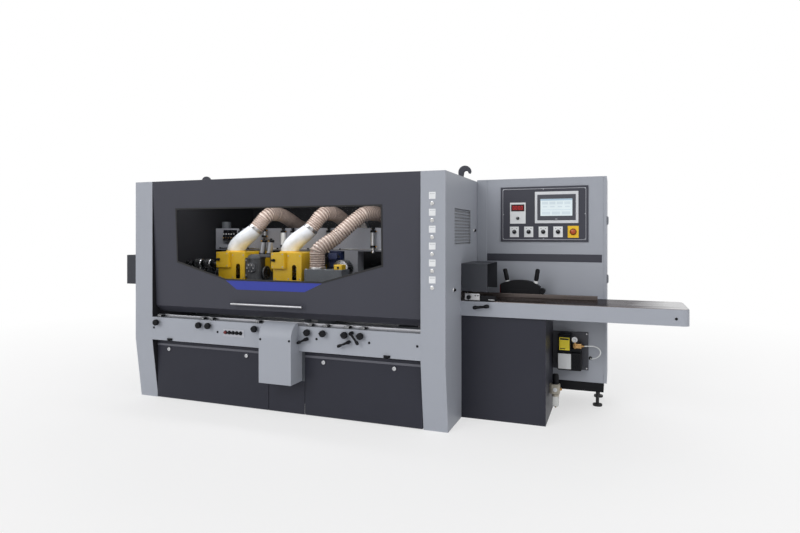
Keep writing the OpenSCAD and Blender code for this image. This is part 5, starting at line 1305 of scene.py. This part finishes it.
class MOULDER_OT_control_panel(bpy.types.Operator):
    """Control panel with its screen, meter, selectors and stop"""

    bl_idname = "moulder.control_panel"
    bl_label = "Control panel"

    def execute(self, context):
        dress("control_panel", "hood_paint", sizes().steel_edge)
        self.inset_line()
        self.screen()
        self.meter()
        self.switches()
        return {"FINISHED"}

    def inset_line(self):
        bm = bmesh.new()
        for low, high in strips((202.5, 1247.5), (815.5, 1633.5), 3):
            block(bm, (low[0] - 0.3, 889.8, low[1] - 0.3), (high[0] + 0.3, 892.3, high[1] + 0.3), 0.5)
        for x in (208, 509, 810):
            for z in (1253, 1440, 1628):
                if x != 509 or z != 1440:
                    turned(bm, [(0, 0), (5, 0), (4.4, 1.6), (1.2, 2.0), (0, 1.5)],
                           at(x, 889.9, z), FRONT, 0, 16)
        piece("panel_frame", bm, ["frame_line"], MACHINE)

    def screen(self):
        bm = bmesh.new()
        block(bm, (446, 884, 1371), (762, 892, 1609), 2.5, 0)
        block(bm, (465, 880, 1393.5), (743, 884.4, 1586.5), 3.0, 1)
        block(bm, (483, 879.3, 1420), (725, 880.4, 1560), 0.4, 1)
        block(bm, (489, 878.9, 1426.5), (719, 880.2, 1553.5), 0.3, 2)
        block(bm, (596, 879.4, 1401), (612, 880.4, 1404), 0.3, 0)
        y0, y1 = 878.5, 879.2
        block(bm, (489.5, y0, 1541), (718.5, y1, 1553), 0.1, 4)
        for k in range(4):
            block(bm, (500 + 54 * k, y0, 1512), (544 + 54 * k, y1, 1532), 0.3, 3)
            block(bm, (506 + 54 * k, y0, 1490), (538 + 54 * k, y1, 1500), 0.3, 3)
        for k in range(3):
            block(bm, (500 + 72 * k, y0, 1436), (560 + 72 * k, y1, 1458), 0.3, 3)
        block(bm, (500, y0, 1470), (708, y1, 1472), 0.1, 4)
        piece("touch_screen_face", bm,
              ["silver_plate", "bezel_grey", "screen_white", "screen_tile", "screen_bar"],
              MACHINE, ("touch_screen",))

    def meter(self):
        bm = bmesh.new()
        block(bm, (259, 889.5, 1370), (377, 892, 1530), 0.8, 0)
        block(bm, (268, 884.5, 1464), (368, 890, 1516), 2.5, 1)
        block(bm, (273, 883.4, 1469), (363, 885, 1511), 0.8, 2)
        self.digits(bm)
        knob = [(0, 0), (12, 0), (12, 1.5), (9, 2), (9, 12), (8, 13.5), (0, 14)]
        x, z = 318, 1410
        turned(bm, knob, at(x, 889.5, z), FRONT, 1, 32, flutes=12, flute_depth=0.08, flute_span=(3, 13))
        block(bm, (x - 0.8, 874.6, z), (x + 0.8, 876.4, z + 8), 0.3, 4)
        for k in range(11):
            a = math.radians(220 - 26 * k)
            spot = at(x + 17 * math.cos(a), 889.5, z + 17 * math.sin(a))
            turned(bm, [(0, 0), (1.1, 0), (1.1, 0.5), (0, 0.6)], spot, FRONT, 1, 8)
        piece("meter_plate", bm, ["white_plate", "black_plastic", "display_red", "digit_red", "white_plate"],
              MACHINE, ("indicator_plates",))

    def digits(self, bm):
        """Four noughts and a point, as a cleared counter shows."""
        y0, y1 = 882.9, 883.7
        for k in range(4):
            x, z = 281 + 20.5 * k, 1477
            strokes = [(2, dz, 9, 2.6) for dz in (0, 23.4)]
            strokes += [(dx, dz, 2.6, 10.2) for dx in (0, 10.4) for dz in (2, 13.8)]
            for dx, dz, w, h in strokes:
                block(bm, (x + dx, y0, z + dz), (x + dx + w, y1, z + dz + h), 0.3, 3)
        block(bm, (336, y0, 1477), (339, y1, 1480), 0.3, 3)

    def switches(self):
        bm = bmesh.new()
        z = SWITCH_HEIGHT
        ring = [(8, 0), (17.5, 0), (17.5, 1.0), (16.4, 2.2), (15, 2.2), (15, 0.8), (8, 0.8), (8, 0)]
        for x in SELECTOR_PLACES:
            block(bm, (x - 34, 889.6, z - 40), (x + 34, 892, z + 40), 1.0, 0)
            turned(bm, ring, at(x, 889.6, z), FRONT, 1, 36)
            for side in (-1, 1):
                block(bm, (x + side * 17 - 4, 889.1, z + 23), (x + side * 17 + 4, 889.8, z + 26), 0.2, 2)
        piece("selector_plates", bm, ["white_plate", "frame_line", "black_plastic"],
              MACHINE, ("indicator_plates",))
        bm = bmesh.new()
        x = STOP_PLACE
        block(bm, (x - 39, 889.6, z - 44), (x + 39, 892, z + 44), 1.0, 0)
        collar = [(8.4, 0), (24, 0), (24, 1.4), (22, 2.8), (20, 2.8), (18, 0.3), (8.4, 0.3), (8.4, 0)]
        turned(bm, collar, at(x, 889.6, z), FRONT, 1, 40)
        piece("estop_plate", bm, ["plate_yellow", "black_plastic"],
              MACHINE, ("indicator_plates",))
        bm = bmesh.new()
        head = [(0, 0), (13, 0), (14, 3), (19, 4.5), (20, 7), (19.4, 11), (16, 14.4), (9, 15.8), (0, 16)]
        turned(bm, head, at(x, 884, z), FRONT, 0, 44)
        rod(bm, at(x, 884, z), at(x, 925, z), 8.0, 1, 24)
        piece("estop_head", bm, ["stop_orange", "ground_steel"],
              "estop_button", ("estop_button",))
        for i, x in enumerate(SELECTOR_PLACES):
            bm = bmesh.new()
            turned(bm, [(0, 0), (13.4, 0), (14, 1), (14, 8), (12.5, 10), (0, 10)],
                   at(x, 888.5, z), FRONT, 0, 40)
            block(bm, (x - 4.5, 868.5, z - 13.6), (x + 4.5, 880, z + 13.4), 1.8, 0)
            block(bm, (x - 0.9, 867.8, z + 2), (x + 0.9, 869.2, z + 12), 0.2, 1)
            rod(bm, at(x, 887, z), at(x, 925, z), 8.0, 2, 24)
            name = "selector_switch_%d" % (i + 1)
            piece(name + "_knob", bm, ["black_plastic", "white_plate", "ground_steel"],
                  name, (name,))


class MOULDER_OT_pillar_plates(bpy.types.Operator):
    """Label plates and lamps of the infeed pillar"""

    bl_idname = "moulder.pillar_plates"
    bl_label = "Pillar lamps"

    def execute(self, context):
        labels, lamps = bmesh.new(), bmesh.new()
        x = -88
        rim = [(0, 0), (15, 0), (15, 3), (13.6, 5), (12.4, 5.4), (11.6, 4.6), (0, 4.4)]
        lens = [(0, 4.0), (11.3, 4.2), (11, 6.2), (9, 8.4), (5, 9.7), (0, 10)]
        for i in range(6):
            z = 1488 - 109 * i
            label = z + 52
            block(labels, (x - 22.5, -2, label - 22.5), (x + 22.5, 0, label + 22.5), 1.0, 0)
            block(labels, (x - 17, -2.5, label + 8), (x + 17, -1.8, label + 16), 0.3, 1)
            for dx in (-19, 19):
                turned(labels, [(0, 0), (1.6, 0), (1.3, 0.7), (0, 0.8)],
                       at(x + dx, -2, label - 19), FRONT, 2, 10)
            turned(lamps, rim, at(x, 0, z), FRONT, 0, 32)
            turned(lamps, lens, at(x, 0, z), FRONT, 1, 32)
        piece("pillar_labels", labels, ["white_plate", "silver_plate", "chrome"],
              MACHINE, ("indicator_plates",))
        piece("pillar_lamps", lamps, ["chrome", "lamp_lens"], MACHINE, ("indicator_plates",))
        return {"FINISHED"}


class MOULDER_OT_service_units(bpy.types.Operator):
    """Oil pump with its gauge and fittings, and the air unit"""

    bl_idname = "moulder.service_units"
    bl_label = "Oil and air"

    def execute(self, context):
        self.pump()
        self.air()
        return {"FINISHED"}

    def pump(self):
        bm = bmesh.new()
        block(bm, (558, 890, 291), (831, 900, 568), 2.0, 0)
        for x in (570, 819):
            for z in (303, 556):
                turned(bm, HEX_SCREW, at(x, 890, z), FRONT, 1, 6)
        piece("pump_plate", bm, ["plate_paint", "ground_steel"], MACHINE, ("service_units",))
        bm = bmesh.new()
        block(bm, (620, 780, 302), (788, 890, 434), 10.0, 0, 3)
        block(bm, (624, 786, 430), (716, 888, 558), 5.0, 0, 3)
        block(bm, (712, 800, 430), (784, 884, 462), 6.0, 0, 3)
        for k in range(5):
            block(bm, (727 + 11 * k, 777.6, 318), (732 + 11 * k, 781, 420), 1.2, 0)
        block(bm, (626, 777.8, 314), (716, 781, 424), 1.0, 1)
        block(bm, (634, 783.6, 448), (706, 787, 540), 1.0, 2)
        block(bm, (640, 782.6, 522), (700, 784.4, 534), 0.6, 3)
        block(bm, (640, 782.6, 456), (676, 784.4, 462), 0.6, 3)
        # The label's lemon yellow is painted lighter to make up for the shade on it.
        piece("pump_body", bm, ["black_plastic", "white_plate", "lemon_label", "black_rubber"],
              MACHINE, ("service_units",))
        bm = bmesh.new()
        x, z = 742, 533
        turned(bm, [(0, 0), (17, 0), (20, 2), (20, 22), (18.5, 24), (17, 24), (16.5, 21), (0, 21)],
               at(x, 780, z), FRONT, 0, 40)
        turned(bm, [(0, 0), (16.4, 0), (16.4, 0.4), (0, 0.4)], at(x, 758.9, z), FRONT, 1, 32)
        for k in range(9):
            a = math.radians(225 - 33.75 * k)
            dx, dz = 13 * math.cos(a), 13 * math.sin(a)
            block(bm, (x + dx - 1.6, 757.9, z + dz - 0.4), (x + dx + 1.6, 758.7, z + dz + 0.4), 0.0, 2,
                  turn=Matrix.Rotation(-a, 4, "Y"))
        block(bm, (x - 1, 757.6, z - 0.6), (x + 10, 758.3, z + 0.6), 0.1, 2,
              turn=Matrix.Rotation(math.radians(-140), 4, "Y"))
        rod(bm, at(x, 790, 462), at(x, 790, 516), 7.0, 3, 20, 1.0)
        rod(bm, at(x, 775, 520), at(x, 800, 520), 9.0, 3, 6, 1.0)
        block(bm, (728, 806, 460), (788, 864, 496), 4.0, 3)
        turned(bm, [(0, 0), (11, 0), (11, 6), (8, 6.5), (8, 16), (5, 18), (0, 18)],
               at(788, 835, 476), X_WAY, 3, 24)
        turned(bm, [(0, 0), (9, 0), (9, 10), (0, 10)], at(760, 806, 478), FRONT, 3, 6)
        turned(bm, [(0, 0), (13, 0), (13, 3), (9, 6), (0, 6)], at(846, 900, 380), FRONT, 4, 24)
        piece("pump_fittings", bm, ["chrome", "white_plate", "black_plastic", "brass", "black_rubber"],
              MACHINE, ("service_units",))

    def air(self):
        bm = bmesh.new()
        x, y = 620, 660
        block(bm, (580, 645, 160), (620, 675, 230), 3.0, 0)
        block(bm, (590, 630, 160), (650, 690, 230), 7.0, 0, 3)
        turned(bm, [(0, 0), (24, 0), (25, 4), (25, 14), (23, 18), (0, 18)], at(x, y, 143), Z_WAY, 0, 40)
        knob = [(0, 230), (23, 230), (23, 242), (19, 244), (19, 252), (21, 254), (22, 262), (22, 292),
                (19, 299), (0, 300)]
        turned(bm, knob, at(x, y, 0), Z_WAY, 1, 60, flutes=20, flute_depth=0.05, flute_span=(256.0, 294.0))
        turned(bm, [(0, 0), (13, 0), (15, 2), (15, 7), (13, 8), (0, 8)], at(x, 630, 195), FRONT, 2, 32)
        turned(bm, [(0, 0), (11, 0), (11, 8), (8, 9), (8, 14), (0, 14)], at(650, y, 195), X_WAY, 3, 20)
        piece("air_unit_body", bm, ["beige_plastic", "black_plastic", "white_plate", "brass"],
              MACHINE, ("service_units",))
        bm = bmesh.new()
        turned(bm, [(0, 70), (8, 68), (19, 72), (23, 82), (24, 100), (24, 146), (0, 146)],
               at(x, y, 0), Z_WAY, 0, 40)
        turned(bm, [(0, 62), (4.5, 62), (5, 64), (5, 71), (0, 71)], at(x, y, 0), Z_WAY, 1, 20)
        piece("air_unit_bowl", bm, ["clear_bowl", "brass"], MACHINE, ("service_units",))


class MOULDER_OT_extraction(bpy.types.Operator):
    """Chip hoods, milky ducts and ribbed hoses"""

    bl_idname = "moulder.extraction"
    bl_label = "Chip extraction"

    def execute(self, context):
        dress("chip_hoods", "hood_yellow", sizes().casting_edge, steps=3)
        tops = [bay(0.5475), bay(0.782)]
        self.trims(tops)
        for i, x in enumerate(tops):
            self.duct(i, x)
            self.hose("ribbed_hose_%d" % (i + 1), self.hood_knots(x))
        self.hose("ribbed_hose_3", self.box_knots())
        return {"FINISHED"}

    def trims(self, tops):
        bm = bmesh.new()
        knob = [(0, 0), (12, 0), (12, 4), (9, 6), (9, 14), (11, 16), (11, 24), (9, 26), (0, 26)]
        collar = [(60, 0), (82, 0), (82, 7), (78, 9), (75, 9), (75, 3), (60, 3), (60, 0)]
        screws = [(14, 320, 1132), (103, 320, 1132), (14, 320, 1034), (103, 320, 1034),
                  (138, 350, 1120), (240, 350, 1120), (138, 350, 940), (240, 350, 940), (20, 350, 940)]
        for x in tops:
            x0 = x - 127
            turned(bm, knob, at(x0 + 26, 320, 1085), FRONT, 0, 28)
            for dx, y, z in screws:
                turned(bm, SOCKET_SCREW, at(x0 + dx, y, z), FRONT, 1, 16)
            turned(bm, collar, self.duct_foot(x), Z_WAY, 2, 48)
        piece("chip_hood_trims", bm, ["black_plastic", "ground_steel", "hood_yellow"], MACHINE)

    def duct_foot(self, x):
        return at(x - 65, 500, 1145)

    def duct(self, i, x):
        end = at(x + 100, 540, 1330)
        rise, lean = Vector((0, 0, 240)) * MM, DUCT_LEAN * MM
        count = 28
        places = [cubic(self.duct_foot(x), rise, end, lean, k / count) for k in range(count + 1)]
        radii = [DUCT_FOOT_RADIUS + (HOSE_RADIUS - DUCT_FOOT_RADIUS) * k / count for k in range(count + 1)]
        bm = bmesh.new()
        tube(bm, places, radii, 48)
        clamp = [(57, -12), (62.5, -12), (63.5, -10), (63.5, 10), (62.5, 12), (57, 12), (57, -12)]
        turned(bm, clamp, end, lean.normalized(), 1, 48)
        made = piece("milky_duct_%d" % (i + 1), bm, ["duct_milk", "ground_steel"],
                     MACHINE, ("chip_ducts",))
        walled(made, 3)

    def hood_knots(self, x):
        leave = Vector((x + 100, 540, 1330))
        out = Vector((x + 205, 1290, 1345))
        back = Vector((0, HOSE_RUN, 0))
        lead = DUCT_LEAN.normalized() * HOSE_RUN
        return [(leave, lead, lead, 7), (leave + lead, lead, Vector((120, 90, 130)), 9),
                (Vector((x + 195, 700, 1462)), Vector((40, 170, 0)), Vector((30, 470, 0)), 27),
                (out - back, Vector((0, 420, 0)), back, 7), (out, back, back, 0)]

    def box_knots(self):
        foot = Vector(BOX_HOSE_FOOT)
        out = Vector((bay(0.281), 1290, 1420))
        up, back = Vector((0, 0, HOSE_RUN)), Vector((0, HOSE_RUN, 0))
        return [(foot, up, up, 7), (foot + up, up, Vector((0, 0, 140)), 9),
                (foot + Vector((106, 100, 242)), Vector((90, 70, 100)), Vector((160, 110, 170)), 14),
                (foot + Vector((273, 250, 425)), Vector((120, 140, 110)), Vector((180, 330, 120)), 26),
                (out - back, Vector((0, 420, 0)), back, 7), (out, back, back, 0)]

    def hose(self, name, knots):
        per_rib = 6
        places = [at(*p) for p in route(knots, per_rib)]
        depth = sizes().hose_rib / MM
        crest = (1.0, 0.72, 0.18, 0.0, 0.18, 0.72)
        radii, marks = [], []
        for i in range(len(places)):
            up = crest[i % per_rib]
            radii.append(HOSE_RADIUS - depth * (1.0 - up))
            marks.append(max(0.0, up - 0.3) / 0.7)
        bm = bmesh.new()
        tube(bm, places, radii, 36, marks)
        made = piece(name, bm, ["hose_wall"], MACHINE, ("chip_hoses",), sharp=80.0,
                     weighted=False)
        walled(made, 1.5)


class MOULDER_OT_machining(bpy.types.Operator):
    """Bed, tables, spindles and motors behind the window"""

    bl_idname = "moulder.machining"
    bl_label = "Machining bay"

    def execute(self, context):
        steel = sizes().steel_edge
        paint_node("bed_frame", "bed_casting")
        dress("work_tables", "ground_steel", steel)
        dress("guide_fence", "fence_steel", steel)
        self.bored("spindle_units", "cast_grey", steel, "cast_bed")
        self.bored("spindle_motors", "motor_navy", steel * 2, "navy_paint")
        for node in ("bottom_spindle", "right_spindle", "left_spindle", "top_spindle_1", "top_spindle_2",
                     "feed_roller_1", "feed_roller_2", "feed_roller_3"):
            paint_node(node, "turned_steel")
        self.box_trims()
        self.outfeed_shafts()
        return {"FINISHED"}

    def bored(self, node, finish_name, edge, slot):
        """Copy of a node whose shaft bores are opened a little, so that the turning shafts stay clear."""
        bm = cad_copy(node, edge)
        inner, outer, play = 10 * MM, 24 * MM, 1.5
        for name in ("bottom_spindle", "top_spindle_1", "top_spindle_2"):
            low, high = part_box(name)
            middle = (low + high) / 2
            for v in bm.verts:
                away = Vector((v.co.x - middle.x, 0.0, v.co.z - middle.z))
                if inner < away.length < outer:
                    v.co += away.normalized() * play * MM
        piece(node + "_finish", bm, [finish_name], MACHINE, (node,))

    def outfeed_shafts(self):
        """Pressure rollers on two shafts between the outfeed pillar and its chip hood."""
        bm = bmesh.new()
        left, right = -2382, -2025
        upper, lower = (404, 1046), (430, 990)
        for (y, z), r in ((upper, 13), (lower, 9)):
            rod(bm, at(left, y, z), at(right, y, z), r, 0, 28)
            for x, way in ((left, X_WAY), (right, -X_WAY)):
                turned(bm, [(0, 0), (r + 14, 0), (r + 15, 3), (r + 15, 9), (r + 8, 12), (r + 6, 24), (0, 24)],
                       at(x, y, z), way, 1, 32)
        for x in (-2306, -2212, -2118):
            turned(bm, [(12, -12), (28, -12), (30, -9), (30, 9), (28, 12), (12, 12), (12, -12)],
                   at(x, *upper), X_WAY, 1, 40)
            block(bm, (x - 9, 398, 980), (x + 9, 438, 1046), 5.0, 1)
        for x in (-2259, -2165):
            turned(bm, [(12, -30), (34, -30), (37, -27), (37, 27), (34, 30), (12, 30), (12, -30)],
                   at(x, *upper), X_WAY, 0, 48)
        piece("outfeed_shafts", bm, ["turned_steel", "black_plastic"], MACHINE)

    def box_trims(self):
        """Small cover on the left chip box with its screw, and the hose's clamp."""
        bm = bmesh.new()
        block(bm, (-976, 352, 1020), (-908, 424, 1058), 5.0, 0, 3)
        turned(bm, [(0, 0), (9, 0), (9, 4), (7, 6), (0, 6)], at(-940, 352, 1036), FRONT, 1, 24)
        turned(bm, [(57, 0), (64, 0), (65, 2), (65, 14), (64, 16), (60, 16), (57, 0)],
               at(*BOX_HOSE_FOOT), Z_WAY, 2, 48)
        for x in (-1200, -1130, -1030, -915):
            turned(bm, HEX_SCREW, at(x, 330, 1020), Z_WAY, 2, 6)
        piece("chip_box_trims", bm, ["hood_yellow", "black_plastic", "ground_steel"], MACHINE)


class MOULDER_OT_feed(bpy.types.Operator):
    """Feed beam with its motor, air cylinders and pressure unit"""

    bl_idname = "moulder.feed"
    bl_label = "Feed beam"

    def execute(self, context):
        motor = ((-1250, 720, 1005), (-1080, 880, 1150.02))
        bm = cad_copy("feed_beam", sizes().steel_edge * 2, drops=[motor], cut=740.05)
        # The beam takes a darker copy of the light paint as painted shade.
        piece("feed_beam_finish", bm, ["beam_paint"], "feed_beam", ("feed_beam",))
        self.motor()
        self.cylinders()
        self.valve_block()
        self.pressure_unit()
        return {"FINISHED"}

    def motor(self):
        bm = bmesh.new()
        x, y = bay(0.4503), 800
        turned(bm, [(0, 1008), (70, 1008), (76, 1012), (76, 1060), (72, 1064), (72, 1140), (78, 1144),
                    (78, 1151), (0, 1151)],
               at(x, y, 0), Z_WAY, 0, 48)
        for k in range(24):
            a = 2 * math.pi * k / 24
            fx, fy = x + 74 * math.cos(a), y + 74 * math.sin(a)
            block(bm, (fx - 5, fy - 1.5, 1062), (fx + 5, fy + 1.5, 1142), 0.6, 0,
                  turn=Matrix.Rotation(a, 4, "Z"))
        block(bm, (x - 40, 704, 1080), (x + 40, 736, 1132), 4.0, 0)
        turned(bm, [(0, 0), (9, 0), (9, 14), (7, 16), (0, 16)], at(x + 40, 720, 1104), X_WAY, 1, 20)
        piece("feed_motor", bm, ["motor_navy", "black_plastic"], "feed_beam")

    def cylinders(self):
        bm = bmesh.new()
        white = (bay(0.668), bay(0.213))
        low_high = [(x, 1180, 1320) for x in (white[0], bay(0.47), white[1], -1552, -811)]
        low_high += [(-1836, 1262, 1330), (-2080, 1190, 1320)]
        for x, low, high in low_high:
            foot = at(x, CYLINDER_DEPTH, 0)
            turned(bm, [(0, low), (22, low), (23, low + 2), (23, low + 16), (22, low + 18), (0, low + 18)],
                   foot, Z_WAY, 1, 32)
            turned(bm, [(0, low + 17), (20, low + 17), (20, high - 17), (0, high - 17)],
                   foot, Z_WAY, 4 if x in white else 0, 32)
            turned(bm, [(0, high - 18), (22, high - 18), (23, high - 16), (23, high - 2), (22, high),
                        (0, high)], foot, Z_WAY, 1, 32)
            turned(bm, [(0, high - 1), (9, high - 1), (9, high + 6), (14, high + 8), (14, high + 22),
                        (11, high + 25), (0, high + 25)], foot, Z_WAY, 1, 24)
            if low < PIPED_BELOW:
                turned(bm, [(0, low - 42), (13, low - 42), (13, low - 30), (7, low - 28), (7, low + 1),
                            (0, low + 1)], foot, Z_WAY, 2, 20)
            for z in (low + 9, high - 9):
                turned(bm, [(0, 20), (6, 20), (6, 28), (4, 30), (4, 34), (0, 34)],
                       at(x, CYLINDER_DEPTH, z), X_WAY, 3, 16)
        piece("feed_cylinders", bm, ["barrel_silver", "black_plastic", "chrome", "brass", "white_plate"],
              "feed_beam")
        self.air_pipes(low_high)

    def air_pipes(self, low_high):
        """Rigid air pipe clipped along the beam, with a branch to each cylinder's lower fitting."""
        bm = bmesh.new()
        y, z = 735.5, 1166
        rod(bm, at(-2330, y, z), at(-200, y, z), 3.5, 0, 16, 1.0)
        for k in range(8):
            x = -2310 + 299 * k
            block(bm, (x - 6, 730, z - 6), (x + 6, 740.5, z + 6), 1.5, 1)
        for x, low, _ in low_high:
            if low < PIPED_BELOW:
                rod(bm, at(x + 31, CYLINDER_DEPTH, low + 9), at(x + 31, CYLINDER_DEPTH, z), 3.0, 0, 14, 0.5)
                rod(bm, at(x + 31, CYLINDER_DEPTH - 1, z), at(x + 31, y, z), 3.6, 1, 14, 0.5)
        piece("air_pipes", bm, ["ground_steel", "black_plastic"], "feed_beam")

    def valve_block(self):
        """Row of air valves on the beam's outfeed end."""
        bm = bmesh.new()
        block(bm, (-2262, 716, 1222), (-2122, 741, 1240), 2.0, 1)
        for k in range(5):
            x = -2258 + 27 * k
            block(bm, (x, 704, 1238), (x + 23, 741, 1302), 3.0, 0)
            block(bm, (x + 3, 708, 1300), (x + 20, 738, 1326), 4.0, 0)
            turned(bm, [(0, 0), (5, 0), (5, 3), (3.5, 4), (0, 4)], at(x + 11.5, 704, 1290), FRONT, 2, 14)
            turned(bm, [(0, 0), (6, 0), (6, 9), (4, 11), (0, 11)], at(x + 11.5, 704, 1256), FRONT, 3, 16)
        piece("valve_block", bm, ["black_plastic", "barrel_silver", "white_plate", "brass"],
              "feed_beam")

    def pressure_unit(self):
        """Cast pressure unit on the side of the outfeed chip hood, with two air cylinders and a handwheel."""
        bm = bmesh.new()
        x, y = -1692, 392
        turned(bm, [(0, 905), (56, 905), (64, 909), (69, 918), (70, 930), (70, 1092), (67, 1108), (58, 1119),
                    (40, 1124), (0, 1124)],
               at(x, y, 0), Z_WAY, 0, 56)
        block(bm, (-1773, 356, 940), (x - 40, 428, 1100), 5.0, 0)
        for z in (960, 1080):
            turned(bm, [(0, 0), (6, 0), (6, 4), (4.5, 5.5), (0, 5.5)], at(-1762, 356, z), FRONT, 2, 6)
        turned(bm, [(0, 0), (40, 0), (42, 3), (42, 16), (36, 20), (12, 20), (12, 26), (0, 26)],
               at(x, y - 62, 1020), FRONT, 0, 40)
        for k in range(6):
            a = 2 * math.pi * k / 6
            spot = at(x + 28 * math.cos(a), y - 82, 1020 + 28 * math.sin(a))
            turned(bm, [(0, 0), (5, 0), (5, 4), (3.8, 5), (0, 5)], spot, FRONT, 2, 6)
        for z in (926, 1096):
            turned(bm, [(66, -7), (73, -7), (75, -4), (75, 4), (73, 7), (66, 7), (66, -7)],
                   at(x, y, z), Z_WAY, 0, 56)
        block(bm, (-1726, 356, 1104), (-1534, 428, 1128), 6.0, 0, 3)
        lean = Vector((math.sin(math.radians(8)), 0, math.cos(math.radians(8))))
        for foot_x in (-1636, -1570):
            foot = at(foot_x, y, 1124)
            turned(bm, [(0, 0), (26, 0), (27, 3), (27, 14), (25, 16), (0, 16)], foot, lean, 3, 36)
            turned(bm, [(0, 15), (24, 15), (24, 104), (0, 104)], foot, lean, 1, 36)
            turned(bm, [(0, 103), (25, 103), (27, 106), (27, 118), (24, 122), (9, 122), (9, 132), (0, 132)],
                   foot, lean, 3, 36)
            turned(bm, [(0, 0), (6, 0), (6, 10), (4, 12), (4, 16), (0, 16)],
                   foot + lean * 0.112 + FRONT * 0.024, FRONT, 4, 16)
        hub = at(-1604, y, 985)
        rod(bm, at(x + 60, y, 985), at(-1600, y, 985), 10.0, 2, 20, 1.0)
        turned(bm, [(45, 2), (50, 2), (52, 4), (52, 13), (50, 15), (45, 15), (45, 2)], hub, X_WAY, 0, 48)
        turned(bm, [(0, -3), (20, -3), (22, 0), (22, 3), (46, 5), (46, 12), (22, 15), (22, 22), (18, 25),
                    (0, 25)], hub, X_WAY, 3, 48)
        piece("pressure_unit", bm, ["dark_casting", "barrel_grey", "ground_steel", "black_plastic", "brass"],
              MACHINE)


OPERATORS = (
    MOULDER_OT_stage, MOULDER_OT_oil_tube, MOULDER_OT_enclosure, MOULDER_OT_hood, MOULDER_OT_rail,
    MOULDER_OT_knobs, MOULDER_OT_levers, MOULDER_OT_buttons, MOULDER_OT_lower_panels, MOULDER_OT_infeed,
    MOULDER_OT_cabinet, MOULDER_OT_control_panel, MOULDER_OT_pillar_plates, MOULDER_OT_service_units,
    MOULDER_OT_extraction, MOULDER_OT_machining, MOULDER_OT_feed)


class MOULDER_PT_sidebar(bpy.types.Panel):
    """Lists the machine's colours, sizes and building steps"""

    bl_idname = "MOULDER_PT_sidebar"
    bl_label = "Four sided moulder"
    bl_space_type = "VIEW_3D"
    bl_region_type = "UI"
    bl_category = "Moulder"

    def draw(self, context):
        for group in (context.scene.moulder_colours, context.scene.moulder_sizes):
            for key in group.__annotations__:
                self.layout.prop(group, key)
        for step in OPERATORS:
            self.layout.operator(step.bl_idname)


CLASSES = (MoulderColours, MoulderSizes, *OPERATORS, MOULDER_PT_sidebar)


def register():
    for c in CLASSES:
        bpy.utils.register_class(c)
    bpy.types.Scene.moulder_colours = bpy.props.PointerProperty(type=MoulderColours)
    bpy.types.Scene.moulder_sizes = bpy.props.PointerProperty(type=MoulderSizes)


def unregister():
    del bpy.types.Scene.moulder_sizes
    del bpy.types.Scene.moulder_colours
    for c in reversed(CLASSES):
        bpy.utils.unregister_class(c)


def main():
    register()
    for step in OPERATORS:
        family, name = step.bl_idname.split(".")
        getattr(getattr(bpy.ops, family), name)()


if __name__ == "__main__":
    main()
